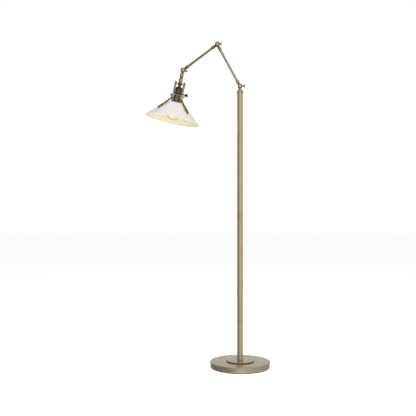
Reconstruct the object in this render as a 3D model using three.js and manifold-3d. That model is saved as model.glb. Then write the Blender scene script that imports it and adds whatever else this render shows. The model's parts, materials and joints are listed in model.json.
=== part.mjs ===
// A pharmacy floor lamp: a weighted round base, a straight pole, two jointed arms held by wing
// screws, and a conical shade hung on three struts below a socket yoke.
// Millimetres, +Z up, origin at the centre of the underside of the base.
// The arms and the head lie in the XZ plane. A bearing is an angle in degrees in that plane,
// measured from straight up towards +X.
import * as THREE from "three";
import { mergeVertices } from "three/addons/utils/BufferGeometryUtils.js";
import Module from "manifold-3d";

const wasm = await Module();
wasm.setup();

// ---------------------------------------------------------------- driving dimensions

const GAP = 0.3; // clearance between pieces that touch
const SIDES = { large: 48, middle: 24, rod: 16, small: 10, wire: 6 }; // sides of round pieces

const felt = { radius: 136, thickness: 2 };
const base = { rim: 140, wall: 137, top: 27.5, sheet: 1.5, lip: 5.5 };
const weight = { radius: 120, hub: 40, shoulder: 20, recess: 32, recessTop: 14, channel: 8 };
const boss = { radius: 64.5, height: 5, edge: 1.2 };
const stud = { radius: 6.3, bore: 3.6, bottom: 5, top: 60 }; // threaded tube through the base
const footNut = { across: 14, bottom: 5.5, height: 6 };
const footWasher = { radius: 18, height: 1.7 };
const bushing = { height: 10, barrel: 4.7, flange: 7, bore: 3 };

const pole = { radius: 13.25, wall: 1.2, top: 1271, plugTop: 58 };
const cap = { flange: 16, neck: 9.6, top: 1285.5, spigotBottom: 1246, bore: 5.8 };
const turretStud = { radius: 5.4, bore: 3.4, bottom: 1236 };
const lockNut = { across: 9.5, bottom: 1238, height: 6 };
const wire = { radius: 2.2, bottom: 8, top: 1281 };

const shoulderHeight = 1305;
const bearing = { lower: -28.6, upper: -127.1, head: -168 }; // of each arm at rest
const swing = { lower: [-35, 35], upper: [-15, 80], head: [-25, 75] }; // turn from rest
const arm = { lower: 222, upper: 200, rod: 5.2, bore: 3.7, ferrule: 7.2, socket: 20, end: 31 };

// Of each knuckle: screw is the bearing of its wing screw, reach how far that stands out.
const shoulder = { radius: 10.5, width: 18, screw: 85, reach: 13.5 };
const elbow = { radius: 11, width: 20, screw: 84, reach: 10.5 };
const wrist = { radius: 11, width: 20, screw: 102, reach: 11 };
const knuckle = { slot: 7.4, tongue: 6.6, web: 3, neck: 9, throat: 5, swingRoom: 39, bevel: 1 };
const pin = { radius: 3, head: 6.3, headHeight: 2.9, nut: 6, nutHeight: 3.4 };
const wing = { shaft: 2.4, collar: 4, blade: 7, thickness: 2.6 };

// Distances along the head from the wrist, measured down the head's own axis.
const sleeve = { radius: 8.5, end: 34, studTop: 22 };
const swivel = { stud: 4, ring: 6, ringEnd: 40, flange: 6.2, flangeTop: 50.5, flangeEnd: 53.5 };
const collar = { radius: 9.3, end: 62.5, counterbore: 6.6 };
const yoke = { top: 62.8, thickness: 6.2, width: 11, centre: 9.5, post: 20.5 };
const post = { radius: 4, stud: 2.5, studTop: 57.5, end: 158.7 };
const postFoot = { radius: 6, top: 151, shift: 2.4 };
const finial = { tip: 52.5, radius: 6 };
const neck = { top: 56.5, stub: 6.3, radius: 7, end: 79.7, bore: 3 };
const socket = { radius: 15.5, capTop: 80, capEnd: 119.2, wall: 1.2, shellEnd: 161, core: 13.8 };
const gallery = { inner: 14.1, outer: 19.5, top: 119.5, thickness: 4, lug: 7 };
const ear = { inner: 27, width: 10, slot: 3.8, end: 143 }; // fork that hangs from the ring for a strut
const key = { depth: 108.6, azimuth: 158, shaft: 2, inner: 9, paddle: 37, end: 49, half: 7 };
const strut = { hinge: 32, hingeDepth: 139, tipDepth: 200.5, rod: 3.5, eye: 3.2, ball: 4.5 };
const crossScrew = { radius: 1.4, head: 2.7, headHeight: 1.8, tail: 1.6 };
const ferruleLength = 11.5; // brass ring and ball at the end of a strut
const strutAzimuths = [-45, 90, 225]; // about the head's axis
const strutSeat = { peg: 1.6, pegReach: 8.6, nut: 4, nutHeight: 2.2 };
const shade = { hole: 16.3, neck: 48, top: 159, rim: 126, rimDepth: 236, sheet: 1 };
const bulb = { cap: 13.2, capTop: 127, capEnd: 153, radius: 30, tip: 236.4, glass: 0.8 };

// ---------------------------------------------------------------- finishes

const finish = (color, roughness, metalness) =>
  new THREE.MeshStandardMaterial({ color, roughness, metalness });
const softBrass = finish(0xb3a482, 0.38, 0.9);
const yellowBrass = finish(0xb8a03c, 0.3, 0.95);
const oliveBronze = finish(0x5f5335, 0.45, 0.85);
const darkBronze = finish(0x2b2622, 0.5, 0.6);
const steel = finish(0x9a9a98, 0.35, 0.95);
const iron = finish(0x3a3a3c, 0.8, 0.5);
const enamel = finish(0xf0ede8, 0.25, 0.05);
const greenFelt = finish(0x2f3a2c, 0.95, 0);
const phenolic = finish(0x1c1816, 0.6, 0);
const clearGlass = finish(0xf6efe0, 0.05, 0);
clearGlass.transparent = true;
clearGlass.opacity = 0.4;

// ---------------------------------------------------------------- solids

// Reads a three.js geometry as a manifold-3d solid.
function solidOf(geometry) {
  const bare = geometry.clone();
  bare.deleteAttribute("normal");
  bare.deleteAttribute("uv");
  const merged = mergeVertices(bare, 1e-4);
  const corners = merged.index.array;
  const triangles = [];
  for (let i = 0; i < corners.length; i += 3) {
    const [a, b, c] = corners.slice(i, i + 3);
    if (a !== b && b !== c && c !== a) triangles.push(a, b, c);
  }
  return new wasm.Manifold(
    new wasm.Mesh({
      numProp: 3,
      vertProperties: merged.attributes.position.array,
      triVerts: new Uint32Array(triangles),
    }),
  );
}

// Gives a manifold-3d solid back as a three.js geometry.
function geometryOf(solid) {
  const mesh = solid.getMesh();
  return new THREE.BufferGeometry()
    .setAttribute("position", new THREE.BufferAttribute(mesh.vertProperties, 3))
    .setIndex(new THREE.BufferAttribute(mesh.triVerts, 1));
}

const join = (first, ...others) =>
  geometryOf(others.reduce((sum, other) => sum.add(solidOf(other)), solidOf(first)));
const cut = (first, ...tools) =>
  geometryOf(tools.reduce((rest, tool) => rest.subtract(solidOf(tool)), solidOf(first)));

// A solid of revolution about +Z from a closed outline of [radius, height] points.
function turned(outline, sides) {
  const area = outline.reduce((sum, [r, z], i) => {
    const [nextR, nextZ] = outline[(i + 1) % outline.length];
    return sum + r * nextZ - nextR * z;
  }, 0);
  const points = outline.map(([r, z]) => new THREE.Vector2(r, z));
  if (outline[0][0] !== 0) points.push(points[0].clone());
  if (area < 0) points.reverse();
  return new THREE.LatheGeometry(points, sides).rotateX(Math.PI / 2);
}

// A round bar, or a round tube, along +Z.
const rod = (radius, from, to, sides) =>
  turned([[0, from], [radius, from], [radius, to], [0, to]], sides);
const tube = (radius, bore, from, to, sides) =>
  turned([[bore, from], [radius, from], [radius, to], [bore, to]], sides);

// A hexagon nut with a round bore.
const hexNut = (across, bore, from, height) =>
  cut(rod(across, from, from + height, 6), rod(bore, from - 1, from + height + 1, SIDES.small));

// A round bar along Y.
const crossRod = (radius, from, to, sides) =>
  rod(radius, from, to, sides).rotateX(-Math.PI / 2);

// A flat plate from an outline in the XZ plane, centred on the plane y = 0.
function plate(shape, thickness, curveSegments = 8) {
  const options = { depth: thickness, bevelEnabled: false, curveSegments };
  const geometry = new THREE.ExtrudeGeometry(shape, options).rotateX(Math.PI / 2);
  return geometry.translate(0, thickness / 2, 0);
}

// A flat plate from an outline in the XY plane, standing on the height `from`.
const slab = (shape, from, thickness, curveSegments = 8) =>
  new THREE.ExtrudeGeometry(shape, { depth: thickness, bevelEnabled: false, curveSegments })
    .translate(0, 0, from);

const radians = THREE.MathUtils.degToRad;

// An outline of corner points, closed by itself.
const outlineOf = (corners) => new THREE.Shape(corners.map(([x, y]) => new THREE.Vector2(x, y)));

// A named sub-part.
function piece(name, geometry, material) {
  geometry.computeVertexNormals();
  const mesh = new THREE.Mesh(geometry, material);
  mesh.name = name;
  return mesh;
}

// ---------------------------------------------------------------- base and pole

// Height of each layer above the floor.
const layer = { lining: felt.thickness + GAP, bossFloor: base.top + GAP };
layer.poleFoot = layer.bossFloor + boss.height + GAP;
const studHole = stud.radius + GAP;

function baseShell() {
  const { rim, wall, top, sheet, lip } = base;
  const shell = turned(
    [
      [wall, layer.lining], [wall, top - lip], [rim, top - lip + 1.2], [rim, top - 2],
      [rim - 1.5, top - 0.4], [rim - 3, top], [studHole, top], [studHole, top - sheet],
      [wall - sheet, top - sheet], [wall - sheet, layer.lining],
    ],
    SIDES.large,
  );
  const cordHole = crossRod(bushing.barrel + GAP, wall - 8, wall + 8, SIDES.small);
  return cut(shell, cordHole.translate(0, 0, bushing.height));
}

function baseWeight() {
  const { radius, hub, shoulder: step, recess, recessTop, channel } = weight;
  const hubTop = base.top - base.sheet - GAP;
  const disc = turned(
    [
      [recess, layer.lining], [radius, layer.lining], [radius, step - 2], [radius - 2, step],
      [hub + 6, step], [hub, hubTop], [studHole, hubTop], [studHole, recessTop],
      [recess, recessTop],
    ],
    SIDES.middle,
  );
  const length = radius - recess + 20;
  const groove = new THREE.BoxGeometry(channel, length, channel + 4);
  return cut(disc, groove.translate(0, recess - 10 + length / 2, channel - 2));
}

function baseBoss() {
  const { radius, height, edge } = boss;
  const [floor, top] = [layer.bossFloor, layer.bossFloor + height];
  return turned(
    [
      [studHole, floor], [radius - 0.8, floor], [radius, floor + 0.8], [radius, top - edge],
      [radius - edge, top], [studHole, top],
    ],
    SIDES.large,
  );
}

// Grommet for the cord, in the rear wall of the base.
function cordBushing() {
  const { barrel, flange, bore, height } = bushing;
  const [inside, outside] = [base.wall - base.sheet - 0.6, base.wall + GAP];
  const grommet = turned(
    [
      [bore, inside - 2.4], [flange, inside - 2.4], [flange, inside], [barrel, inside],
      [barrel, outside], [flange, outside], [flange - 1, outside + 2.4], [bore, outside + 2.4],
    ],
    SIDES.small,
  );
  return grommet.rotateX(-Math.PI / 2).translate(0, 0, height);
}

const poleBore = pole.radius - pole.wall;

function poleCap() {
  const { flange, neck: throat, top, spigotBottom, bore } = cap;
  const spigot = poleBore - GAP;
  const seat = pole.top + GAP;
  return turned(
    [
      [bore, spigotBottom], [spigot, spigotBottom], [spigot, seat], [pole.radius, seat],
      [pole.radius + 0.4, seat + 3], [flange - 2.4, top - 7.5], [flange, top - 5],
      [flange, top - 3], [flange - 3, top - 1.2], [throat, top], [bore, top],
    ],
    SIDES.middle,
  );
}

function stand() {
  const group = new THREE.Group();
  const nutFloor = footNut.bottom;
  const washerFloor = nutFloor + footNut.height + GAP;
  const plugRadius = poleBore - GAP;
  group.add(
    piece("felt_pad", rod(felt.radius, 0, felt.thickness, SIDES.large), greenFelt),
    piece("base_weight", baseWeight(), iron),
    piece("base_shell", baseShell(), softBrass),
    piece("base_boss", baseBoss(), softBrass),
    piece("cord_bushing", cordBushing(), phenolic),
    piece("foot_nut", hexNut(footNut.across, studHole, nutFloor, footNut.height), steel),
    piece(
      "foot_washer",
      tube(footWasher.radius, studHole, washerFloor, washerFloor + footWasher.height, SIDES.rod),
      steel,
    ),
    piece("foot_stud", tube(stud.radius, stud.bore, stud.bottom, stud.top, SIDES.small), steel),
    piece("pole_plug", tube(plugRadius, studHole, layer.poleFoot, pole.plugTop, SIDES.rod), steel),
    piece("pole_tube", tube(pole.radius, poleBore, layer.poleFoot, pole.top, SIDES.middle), softBrass),
    piece("pole_cap", poleCap(), softBrass),
    piece("pole_wire", rod(wire.radius, wire.bottom, wire.top, SIDES.wire), phenolic),
  );
  return group;
}

// ---------------------------------------------------------------- knuckles

// The part of a knuckle that is swept by the tongue: wide open between two bearings, and a
// round pocket that clears the tongue's disc everywhere else.
function knuckleSlot({ radius }, [from, to]) {
  const pocket = radius - knuckle.web + GAP + 0.2;
  const outer = radius + 3.4;
  const start = radians(90 - to);
  const end = radians(90 - from);
  const shape = new THREE.Shape();
  shape.absarc(0, 0, outer, start, end, false);
  shape.absarc(0, 0, pocket, end, start + 2 * Math.PI, false);
  return plate(shape, knuckle.slot, 12);
}

// A drum with two cheeks and a web that closes them, bored for the pin and the wing screw.
// The stem is what carries the drum, already in place.
function knuckleFork(size, stem, openFrom, openTo, screwBearing, stemBores) {
  const { radius, width } = size;
  const half = width / 2;
  const { bevel } = knuckle;
  const drum = turned(
    [
      [0, -half], [radius - bevel, -half], [radius, bevel - half], [radius, half - bevel],
      [radius - bevel, half], [0, half],
    ],
    SIDES.rod,
  ).rotateX(-Math.PI / 2);
  const screwHole = rod(wing.shaft + GAP, 0, radius + 6, SIDES.small);
  return cut(
    join(drum, stem),
    knuckleSlot(size, [openFrom, openTo]),
    crossRod(pin.radius + GAP, -width, width, SIDES.small),
    screwHole.rotateY(radians(screwBearing)),
    ...stemBores,
  );
}

// A ferrule along +Z: a throat, and from its shoulder on the full radius.
function ferruleOutline(start, shoulderAt, end, radius) {
  const { throat } = knuckle;
  const outline = [[0, start], [throat, start]];
  if (shoulderAt > start) outline.push([throat, shoulderAt]);
  outline.push([radius, shoulderAt + 2.5], [radius, end - 1], [radius - 1, end], [0, end]);
  return outline;
}

// A disc between the cheeks of a knuckle, with the ferrule that it carries along +Z.
function knuckleTongue(size, ferruleRadius, ferruleEnd, bore) {
  const disc = size.radius - knuckle.web;
  const start = size.radius + 1.6;
  const { tongue, neck: width } = knuckle;
  const tab = new THREE.BoxGeometry(width, tongue, start + 2 - disc / 2);
  const ferrule = turned(ferruleOutline(start, start, ferruleEnd, ferruleRadius), SIDES.rod);
  return cut(
    join(
      crossRod(disc, -tongue / 2, tongue / 2, SIDES.rod),
      tab.translate(0, 0, (start + 2 + disc / 2) / 2),
      ferrule,
    ),
    crossRod(pin.radius + GAP, -tongue, tongue, SIDES.small),
    bore,
  );
}

// Pivot pin with a domed head towards -Y, and the cap nut on its other end.
function pivot(name, { width }) {
  const face = width / 2 + GAP;
  const { radius, head, headHeight, nut, nutHeight } = pin;
  const bolt = turned(
    [
      [0, -face - headHeight], [head * 0.55, -face - headHeight * 0.86],
      [head * 0.88, -face - headHeight * 0.5], [head, -face - 0.6], [head, -face],
      [radius, -face], [radius, face + nutHeight * 0.5], [0, face + nutHeight * 0.5],
    ],
    SIDES.rod,
  );
  const pocketEnd = face + nutHeight * 0.5 + GAP;
  const capNut = turned(
    [
      [0, pocketEnd], [radius + GAP, pocketEnd], [radius + GAP, face], [nut, face],
      [nut, face + nutHeight * 0.6], [nut * 0.6, face + nutHeight], [0, face + nutHeight],
    ],
    SIDES.small,
  );
  return [
    piece(`${name}_pin`, bolt.rotateX(-Math.PI / 2), softBrass),
    piece(`${name}_pin_nut`, capNut.rotateX(-Math.PI / 2), softBrass),
  ];
}

// Wing screw of a knuckle, pointing outwards along its bearing. Roll turns its blade: at 0 the
// blade lies in the XZ plane.
function wingScrew(name, size, roll, material) {
  const { shaft, collar: collarRadius, blade, thickness } = wing;
  const tip = size.radius - knuckle.web + 0.6;
  const face = size.radius + 0.5;
  const root = face + 2.2;
  const end = size.radius + size.reach;
  const stem = turned(
    [[0, tip], [shaft, tip], [shaft, face], [collarRadius, face], [collarRadius, root],
      [shaft, root + 1], [shaft, root + 3], [0, root + 3]],
    SIDES.small,
  );
  const widest = end - 4.5;
  const outline = new THREE.Shape();
  outline.moveTo(-2.2, root - 0.6);
  outline.lineTo(2.2, root - 0.6);
  outline.quadraticCurveTo(3.2, root + 3, blade, widest);
  outline.quadraticCurveTo(blade + 0.4, end, blade - 3, end);
  outline.quadraticCurveTo(0, end - 2, 3 - blade, end);
  outline.quadraticCurveTo(-blade - 0.4, end, -blade, widest);
  outline.quadraticCurveTo(-3.2, root + 3, -2.2, root - 0.6);
  const screw = join(stem, plate(outline, thickness, 3));
  screw.rotateZ(radians(roll)).rotateY(radians(size.screw));
  return piece(name, screw, material);
}

// ---------------------------------------------------------------- turret and arms

// A nested frame at the far end of its parent, turned to its own bearing.
function jointFrame(height, turn) {
  const frame = new THREE.Group();
  frame.position.z = height;
  frame.rotation.y = radians(turn);
  return frame;
}

// Bearings between which the slot of a fork is open, seen from the fork's own frame.
const opening = (rest, [least, most]) => [
  rest + least - knuckle.swingRoom,
  rest + most + knuckle.swingRoom,
];

function turret() {
  const group = jointFrame(shoulderHeight, 0);
  const floor = cap.top + 0.4 - shoulderHeight;
  const studBottom = turretStud.bottom - shoulderHeight;
  const stem = turned(
    [
      [0, studBottom], [turretStud.radius, studBottom], [turretStud.radius, floor],
      [cap.neck - 0.3, floor], [cap.neck - 0.3, floor + 3.4], [7.5, floor + 5.4],
      [7.5, -shoulder.radius + 2], [7.5, -5], [0, -5],
    ],
    SIDES.rod,
  );
  const bore = rod(turretStud.bore, studBottom - 1, floor + 2, SIDES.small);
  const open = opening(bearing.lower, swing.lower);
  const nutFloor = lockNut.bottom - shoulderHeight;
  const nut = hexNut(lockNut.across, turretStud.radius + GAP, nutFloor, lockNut.height);
  group.add(
    piece("turret_neck", knuckleFork(shoulder, stem, ...open, shoulder.screw, [bore]), softBrass),
    piece("turret_lock_nut", nut, steel),
    ...pivot("shoulder", shoulder),
    wingScrew("shoulder_wing_screw", shoulder, 35, oliveBronze),
  );
  return group;
}

// One arm: a tongue and ferrule, a hollow rod, and the fork of the next knuckle.
function armSection(names, near, far, length, open, screwBearing) {
  const rodStart = arm.socket;
  const rodEnd = length - arm.socket;
  const boreRadius = arm.rod + GAP;
  const nearBore = rod(boreRadius, rodStart - GAP, arm.end + 2, SIDES.rod);
  const farBore = rod(boreRadius, -arm.end - 2, GAP - rodStart, SIDES.rod);
  const stemOutline = ferruleOutline(5, far.radius + 2, arm.end, arm.ferrule);
  const stem = turned(stemOutline, SIDES.rod).rotateX(Math.PI);
  const farFrame = { ...far, screw: screwBearing };
  const fork = knuckleFork(farFrame, stem, ...open, screwBearing, [farBore]);
  return [
    piece(names.tongue, knuckleTongue(near, arm.ferrule, arm.end, nearBore), softBrass),
    piece(names.rod, tube(arm.rod, arm.bore, rodStart, rodEnd, SIDES.rod), softBrass),
    piece(names.fork, fork.translate(0, 0, length), softBrass),
  ];
}

function lowerArm() {
  const group = jointFrame(0, bearing.lower);
  const turn = bearing.upper - bearing.lower;
  const screwBearing = elbow.screw - bearing.lower;
  const names = { tongue: "lower_arm_tongue", rod: "lower_arm_rod", fork: "elbow_fork" };
  group.add(
    ...armSection(names, shoulder, elbow, arm.lower, opening(turn, swing.upper), screwBearing),
  );
  const elbowFrame = jointFrame(arm.lower, 0);
  const screw = wingScrew("elbow_wing_screw", { ...elbow, screw: screwBearing }, 0, oliveBronze);
  elbowFrame.add(...pivot("elbow", elbow), screw);
  group.add(elbowFrame);
  return group;
}

function upperArm() {
  const group = jointFrame(arm.lower, bearing.upper - bearing.lower);
  const turn = bearing.head - bearing.upper;
  const screwBearing = wrist.screw - bearing.upper;
  const names = { tongue: "upper_arm_tongue", rod: "upper_arm_rod", fork: "wrist_fork" };
  group.add(
    ...armSection(names, elbow, wrist, arm.upper, opening(turn, swing.head), screwBearing),
  );
  const wristFrame = jointFrame(arm.upper, 0);
  const screw = wingScrew("wrist_wing_screw", { ...wrist, screw: screwBearing }, 80, oliveBronze);
  wristFrame.add(...pivot("wrist", wrist), screw);
  group.add(wristFrame);
  return group;
}

// ---------------------------------------------------------------- head
// In the head's frame +Z points from the wrist down through the bulb.

function headMount() {
  const studBore = swivel.stud + GAP;
  const bore = rod(studBore, sleeve.studTop - GAP, sleeve.end + 2, SIDES.rod);
  const { stud: studRadius, ring, ringEnd, flange, flangeTop, flangeEnd } = swivel;
  const nipple = turned(
    [
      [2.4, sleeve.studTop], [studRadius, sleeve.studTop], [studRadius, flangeTop],
      [flange, flangeTop], [flange, flangeEnd], [2.4, flangeEnd],
    ],
    SIDES.small,
  );
  const ringTop = sleeve.end + GAP;
  return [
    piece("head_tongue", knuckleTongue(wrist, sleeve.radius, sleeve.end, bore), softBrass),
    piece("swivel_nipple", nipple, steel),
    piece("swivel_ring", tube(ring, studBore, ringTop, ringEnd - GAP, SIDES.rod), oliveBronze),
  ];
}

function swivelCollar() {
  const { radius, end, counterbore } = collar;
  const start = swivel.ringEnd;
  const shelf = swivel.flangeTop - GAP;
  return turned(
    [
      [swivel.stud + GAP, start], [radius - 1.8, start], [radius - 0.6, start + 3],
      [radius, start + 9], [radius - 0.2, end - 6], [radius - 1.6, end],
      [counterbore, end], [counterbore, shelf], [swivel.stud + GAP, shelf],
    ],
    SIDES.rod,
  );
}

function yokeBar() {
  const { top, thickness, width, centre, post: spread } = yoke;
  const outline = new THREE.Shape();
  outline.absarc(spread, 0, width / 2, -Math.PI / 2, Math.PI / 2, false);
  outline.absarc(-spread, 0, width / 2, Math.PI / 2, 1.5 * Math.PI, false);
  const postHole = () => rod(post.stud + GAP, top - 1, top + thickness + 1, SIDES.small);
  return cut(
    join(slab(outline, top, thickness, 6), rod(centre, top, top + thickness, SIDES.rod)),
    rod(collar.counterbore, top - 1, top + thickness + 1, SIDES.rod),
    postHole().translate(spread, 0, 0),
    postHole().translate(-spread, 0, 0),
  );
}

// A post with its rounded foot, which stands out sideways, clear of the socket.
function yokePost(side) {
  const { radius, stud: studRadius, studTop, end } = post;
  const { radius: foot, top: footTop, shift: footShift } = postFoot;
  const under = yoke.top + yoke.thickness + GAP;
  const shaft = turned(
    [
      [0, studTop], [studRadius, studTop], [studRadius, under], [radius, under],
      [radius, end - 2], [0, end - 2],
    ],
    SIDES.small,
  );
  const footSolid = turned(
    [
      [0, footTop], [foot - 2.4, footTop], [foot - 0.6, footTop + 1.6], [foot, footTop + 3.4],
      [foot, end - 2], [foot - 1.4, end], [0, end],
    ],
    SIDES.small + 2,
  );
  return join(shaft, footSolid.translate(side * footShift, 0, 0))
    .translate(side * yoke.post, 0, 0);
}

// Pointed cap on the threaded end of a post.
function postFinial() {
  const { tip, radius } = finial;
  const seat = yoke.top - GAP;
  const bore = post.stud + GAP;
  return turned(
    [
      [0, tip], [1.2, tip + 1.2], [3, tip + 4.4], [radius, tip + 8.2], [radius, seat - 0.8],
      [radius - 0.8, seat], [bore, seat], [bore, post.studTop - GAP], [0, post.studTop - GAP],
    ],
    SIDES.small,
  );
}

function socketNeck() {
  const { top, stub, radius, end, bore } = neck;
  const under = yoke.top + yoke.thickness + GAP;
  return turned(
    [
      [bore, top], [stub, top], [stub, under], [radius, under], [radius, end], [5, end],
      [5, end + 4], [bore, end + 4],
    ],
    SIDES.rod,
  );
}

// Points outwards from the head's axis at the height of the turn key.
const alongKey = (geometry) =>
  geometry.rotateY(Math.PI / 2).translate(0, 0, key.depth).rotateZ(radians(key.azimuth));

function socketCap() {
  const { radius, capTop, capEnd, wall } = socket;
  const shell = turned(
    [
      [5 + GAP, capTop], [radius - 4.5, capTop], [radius - 1, capTop + 3], [radius, capTop + 7],
      [radius, capEnd], [radius - wall, capEnd], [radius - wall, capTop + 7.5],
      [radius - wall - 1, capTop + 4.2], [radius - wall - 4.4, capTop + wall],
      [5 + GAP, capTop + wall],
    ],
    SIDES.rod,
  );
  return cut(shell, alongKey(rod(key.shaft + GAP, 10, 20, SIDES.small)));
}

// Switch block inside the socket, with the contact that the bulb screws up to.
function socketCore() {
  const { core, capTop } = socket;
  const floor = gallery.top + gallery.thickness - 1;
  const block = turned(
    [[0, capTop + 6], [core - 2, capTop + 6], [core, capTop + 9], [core, floor], [4, floor],
      [3.4, bulb.capTop - 2.2], [0, bulb.capTop - 2.2]],
    SIDES.rod,
  );
  return cut(block, alongKey(rod(key.shaft + GAP, key.inner - GAP, 20, SIDES.small)));
}

// Ribbed sleeve round the bulb's screw cap.
function socketShell() {
  const { radius, shellEnd } = socket;
  const start = gallery.top + gallery.thickness + GAP;
  const inner = bulb.cap + 1;
  const ribs = 3;
  const pitch = (shellEnd - start - 4) / ribs;
  const outline = [[inner, start], [radius, start]];
  for (let i = 0; i < ribs; i++) {
    const z = start + 2 + i * pitch;
    outline.push([radius, z], [radius - 0.7, z + 1], [radius - 0.7, z + 2.4], [radius, z + 3.4]);
  }
  outline.push([radius, shellEnd], [inner, shellEnd]);
  return turned(outline, SIDES.rod);
}

// Clamping ring of the socket, with a lug round each post and a forked ear for each strut.
function galleryRing() {
  const { inner, outer, top, thickness, lug } = gallery;
  const end = top + thickness;
  const solids = [rod(outer, top, end, SIDES.middle)];
  const holes = [rod(inner, top - 1, end + 1, SIDES.middle)];
  for (const side of [-1, 1]) {
    const x = side * yoke.post;
    solids.push(rod(lug, top, end, SIDES.small).translate(x, 0, 0));
    holes.push(rod(post.radius + GAP, top - 1, end + 1, SIDES.small).translate(x, 0, 0));
  }
  for (const azimuth of strutAzimuths) {
    const turn = radians(azimuth);
    const reach = strut.hinge + strut.eye;
    const drop = ear.end - top;
    const bracket = new THREE.BoxGeometry(reach - inner - 1, ear.width, thickness);
    const fork = new THREE.BoxGeometry(reach - ear.inner, ear.width, drop);
    const slot = new THREE.BoxGeometry(reach, ear.slot, drop);
    const crossHole = crossRod(crossScrew.radius + GAP, -ear.width, ear.width, SIDES.wire);
    solids.push(
      bracket.translate((reach + inner + 1) / 2, 0, top + thickness / 2).rotateZ(turn),
      fork.translate((reach + ear.inner) / 2, 0, top + drop / 2).rotateZ(turn),
    );
    holes.push(
      slot.translate(ear.inner - 1 + reach / 2, 0, top + thickness + drop / 2).rotateZ(turn),
      crossHole.translate(strut.hinge, 0, strut.hingeDepth).rotateZ(turn),
    );
  }
  return cut(join(...solids), ...holes);
}

function turnKey() {
  const { shaft, inner, paddle, end, half } = key;
  const stem = rod(shaft, inner, paddle + 3, SIDES.small);
  const outline = outlineOf([
    [-2.6, paddle], [2.6, paddle], [half - 1, end - 4], [half, end - 1], [half - 1.6, end],
    [1.6 - half, end], [-half, end - 1], [1 - half, end - 4],
  ]);
  return alongKey(join(stem, plate(outline, 3.6)));
}

// ---------------------------------------------------------------- shade, struts and bulb

// Outer face of the cone: a point at a depth, and the face's outward direction.
const cone = (() => {
  const top = { radius: shade.neck, depth: shade.top + 2 };
  const slope = Math.atan2(shade.rim - shade.neck, shade.rimDepth - top.depth);
  return { top, slope, out: [Math.cos(slope), -Math.sin(slope)] };
})();
const coneRadius = (depth) => cone.top.radius + (depth - cone.top.depth) * Math.tan(cone.slope);

// Where a strut ends: the centre of its ball, clear of the cone by one gap.
const strutTip = (() => {
  const stand = strut.ball + GAP;
  const depth = strut.tipDepth;
  return { radius: coneRadius(depth) + stand / Math.cos(cone.slope), depth };
})();
const strutRun = [strutTip.radius - strut.hinge, strutTip.depth - strut.hingeDepth];
const strutLength = Math.hypot(...strutRun);
const strutSlope = Math.atan2(...strutRun);

// Moves a geometry from a strut's own frame, with +Z along the strut, to its place.
const alongStrut = (geometry, azimuth) =>
  geometry
    .rotateY(strutSlope)
    .translate(strut.hinge, 0, strut.hingeDepth)
    .rotateZ(radians(azimuth));

// Moves a geometry that stands on +Z so that +Z points from a strut's ball into the shade.
const throughShade = (geometry, azimuth) =>
  geometry
    .rotateY(cone.slope - Math.PI / 2)
    .translate(strutTip.radius, 0, strutTip.depth)
    .rotateZ(radians(azimuth));

const tipStart = strutLength - ferruleLength;

function strutRod(azimuth) {
  const { rod: radius, eye } = strut;
  const eyePlate = crossRod(eye, -1.5, 1.5, SIDES.small);
  const tab = new THREE.BoxGeometry(4.4, 3, 9).translate(0, 0, 4.5);
  const body = turned(
    [
      [0, 7.5], [radius - 0.6, 7.5], [radius, 8.6], [radius, 11], [radius + 0.9, 12],
      [radius + 0.9, 17], [radius, 18], [radius, strutLength - 30],
      [radius + 1.2, strutLength - 25], [radius + 1.4, tipStart - 1.4],
      [radius + 0.6, tipStart - GAP], [0, tipStart - GAP],
    ],
    SIDES.small,
  );
  const hole = crossRod(crossScrew.radius + GAP, -4, 4, SIDES.wire);
  return alongStrut(cut(join(eyePlate, tab, body), hole), azimuth);
}

// Brass ring and ball at the end of a strut, with the peg that passes through the shade.
function strutBall(azimuth) {
  const { ball } = strut;
  const steps = 6;
  const outline = [[0, tipStart], [ball, tipStart], [ball, tipStart + 4.4]];
  for (let i = 0; i <= steps; i++) {
    const angle = (Math.PI / 2) * (i / steps);
    outline.push([ball * Math.cos(angle), strutLength + (ball - 0.1) * Math.sin(angle)]);
  }
  const ballSolid = alongStrut(turned(outline, SIDES.small), azimuth);
  const peg = throughShade(rod(strutSeat.peg, 0, strutSeat.pegReach, SIDES.wire), azimuth);
  return join(ballSolid, peg);
}

// Nut on the peg, inside the shade.
function strutNut(azimuth) {
  const { peg, nut, nutHeight } = strutSeat;
  const seat = strut.ball + GAP + shade.sheet + GAP + 0.3;
  return throughShade(hexNut(nut, peg + GAP, seat, nutHeight), azimuth);
}

// Cross screw of a strut's hinge.
function strutScrew(azimuth) {
  const half = ear.width / 2 + GAP;
  const { radius, head: headRadius, headHeight, tail } = crossScrew;
  const screw = turned(
    [
      [0, -half - headHeight], [headRadius * 0.74, -half - headHeight],
      [headRadius, -half - headHeight / 2], [headRadius, -half], [radius, -half],
      [radius, half + tail], [0, half + tail],
    ],
    SIDES.wire,
  );
  return screw
    .rotateX(-Math.PI / 2)
    .translate(strut.hinge, 0, strut.hingeDepth)
    .rotateZ(radians(azimuth));
}

function shadeCone() {
  const { hole, top, rim, rimDepth, sheet } = shade;
  const [outR, outZ] = cone.out.map((part) => part * sheet);
  const edge = { radius: rim - 2 };
  edge.depth = cone.top.depth + (edge.radius - shade.neck) / Math.tan(cone.slope);
  const body = turned(
    [
      [hole, top], [shade.neck - 3, top], [shade.neck, cone.top.depth],
      [edge.radius, edge.depth], [rim, edge.depth + 0.6], [rim + 0.6, rimDepth + 0.4],
      [rim - 0.6, rimDepth + 1.8], [rim - 2.4, rimDepth + 1.2],
      [edge.radius - outR, edge.depth - outZ], [shade.neck - outR, cone.top.depth - outZ],
      [shade.neck - 3.6, top + sheet], [hole, top + sheet],
    ],
    SIDES.large,
  );
  const pegHole = (azimuth) =>
    throughShade(rod(strutSeat.peg + GAP, 1, strutSeat.pegReach, SIDES.wire), azimuth);
  return cut(body, ...strutAzimuths.map(pegHole));
}

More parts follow.
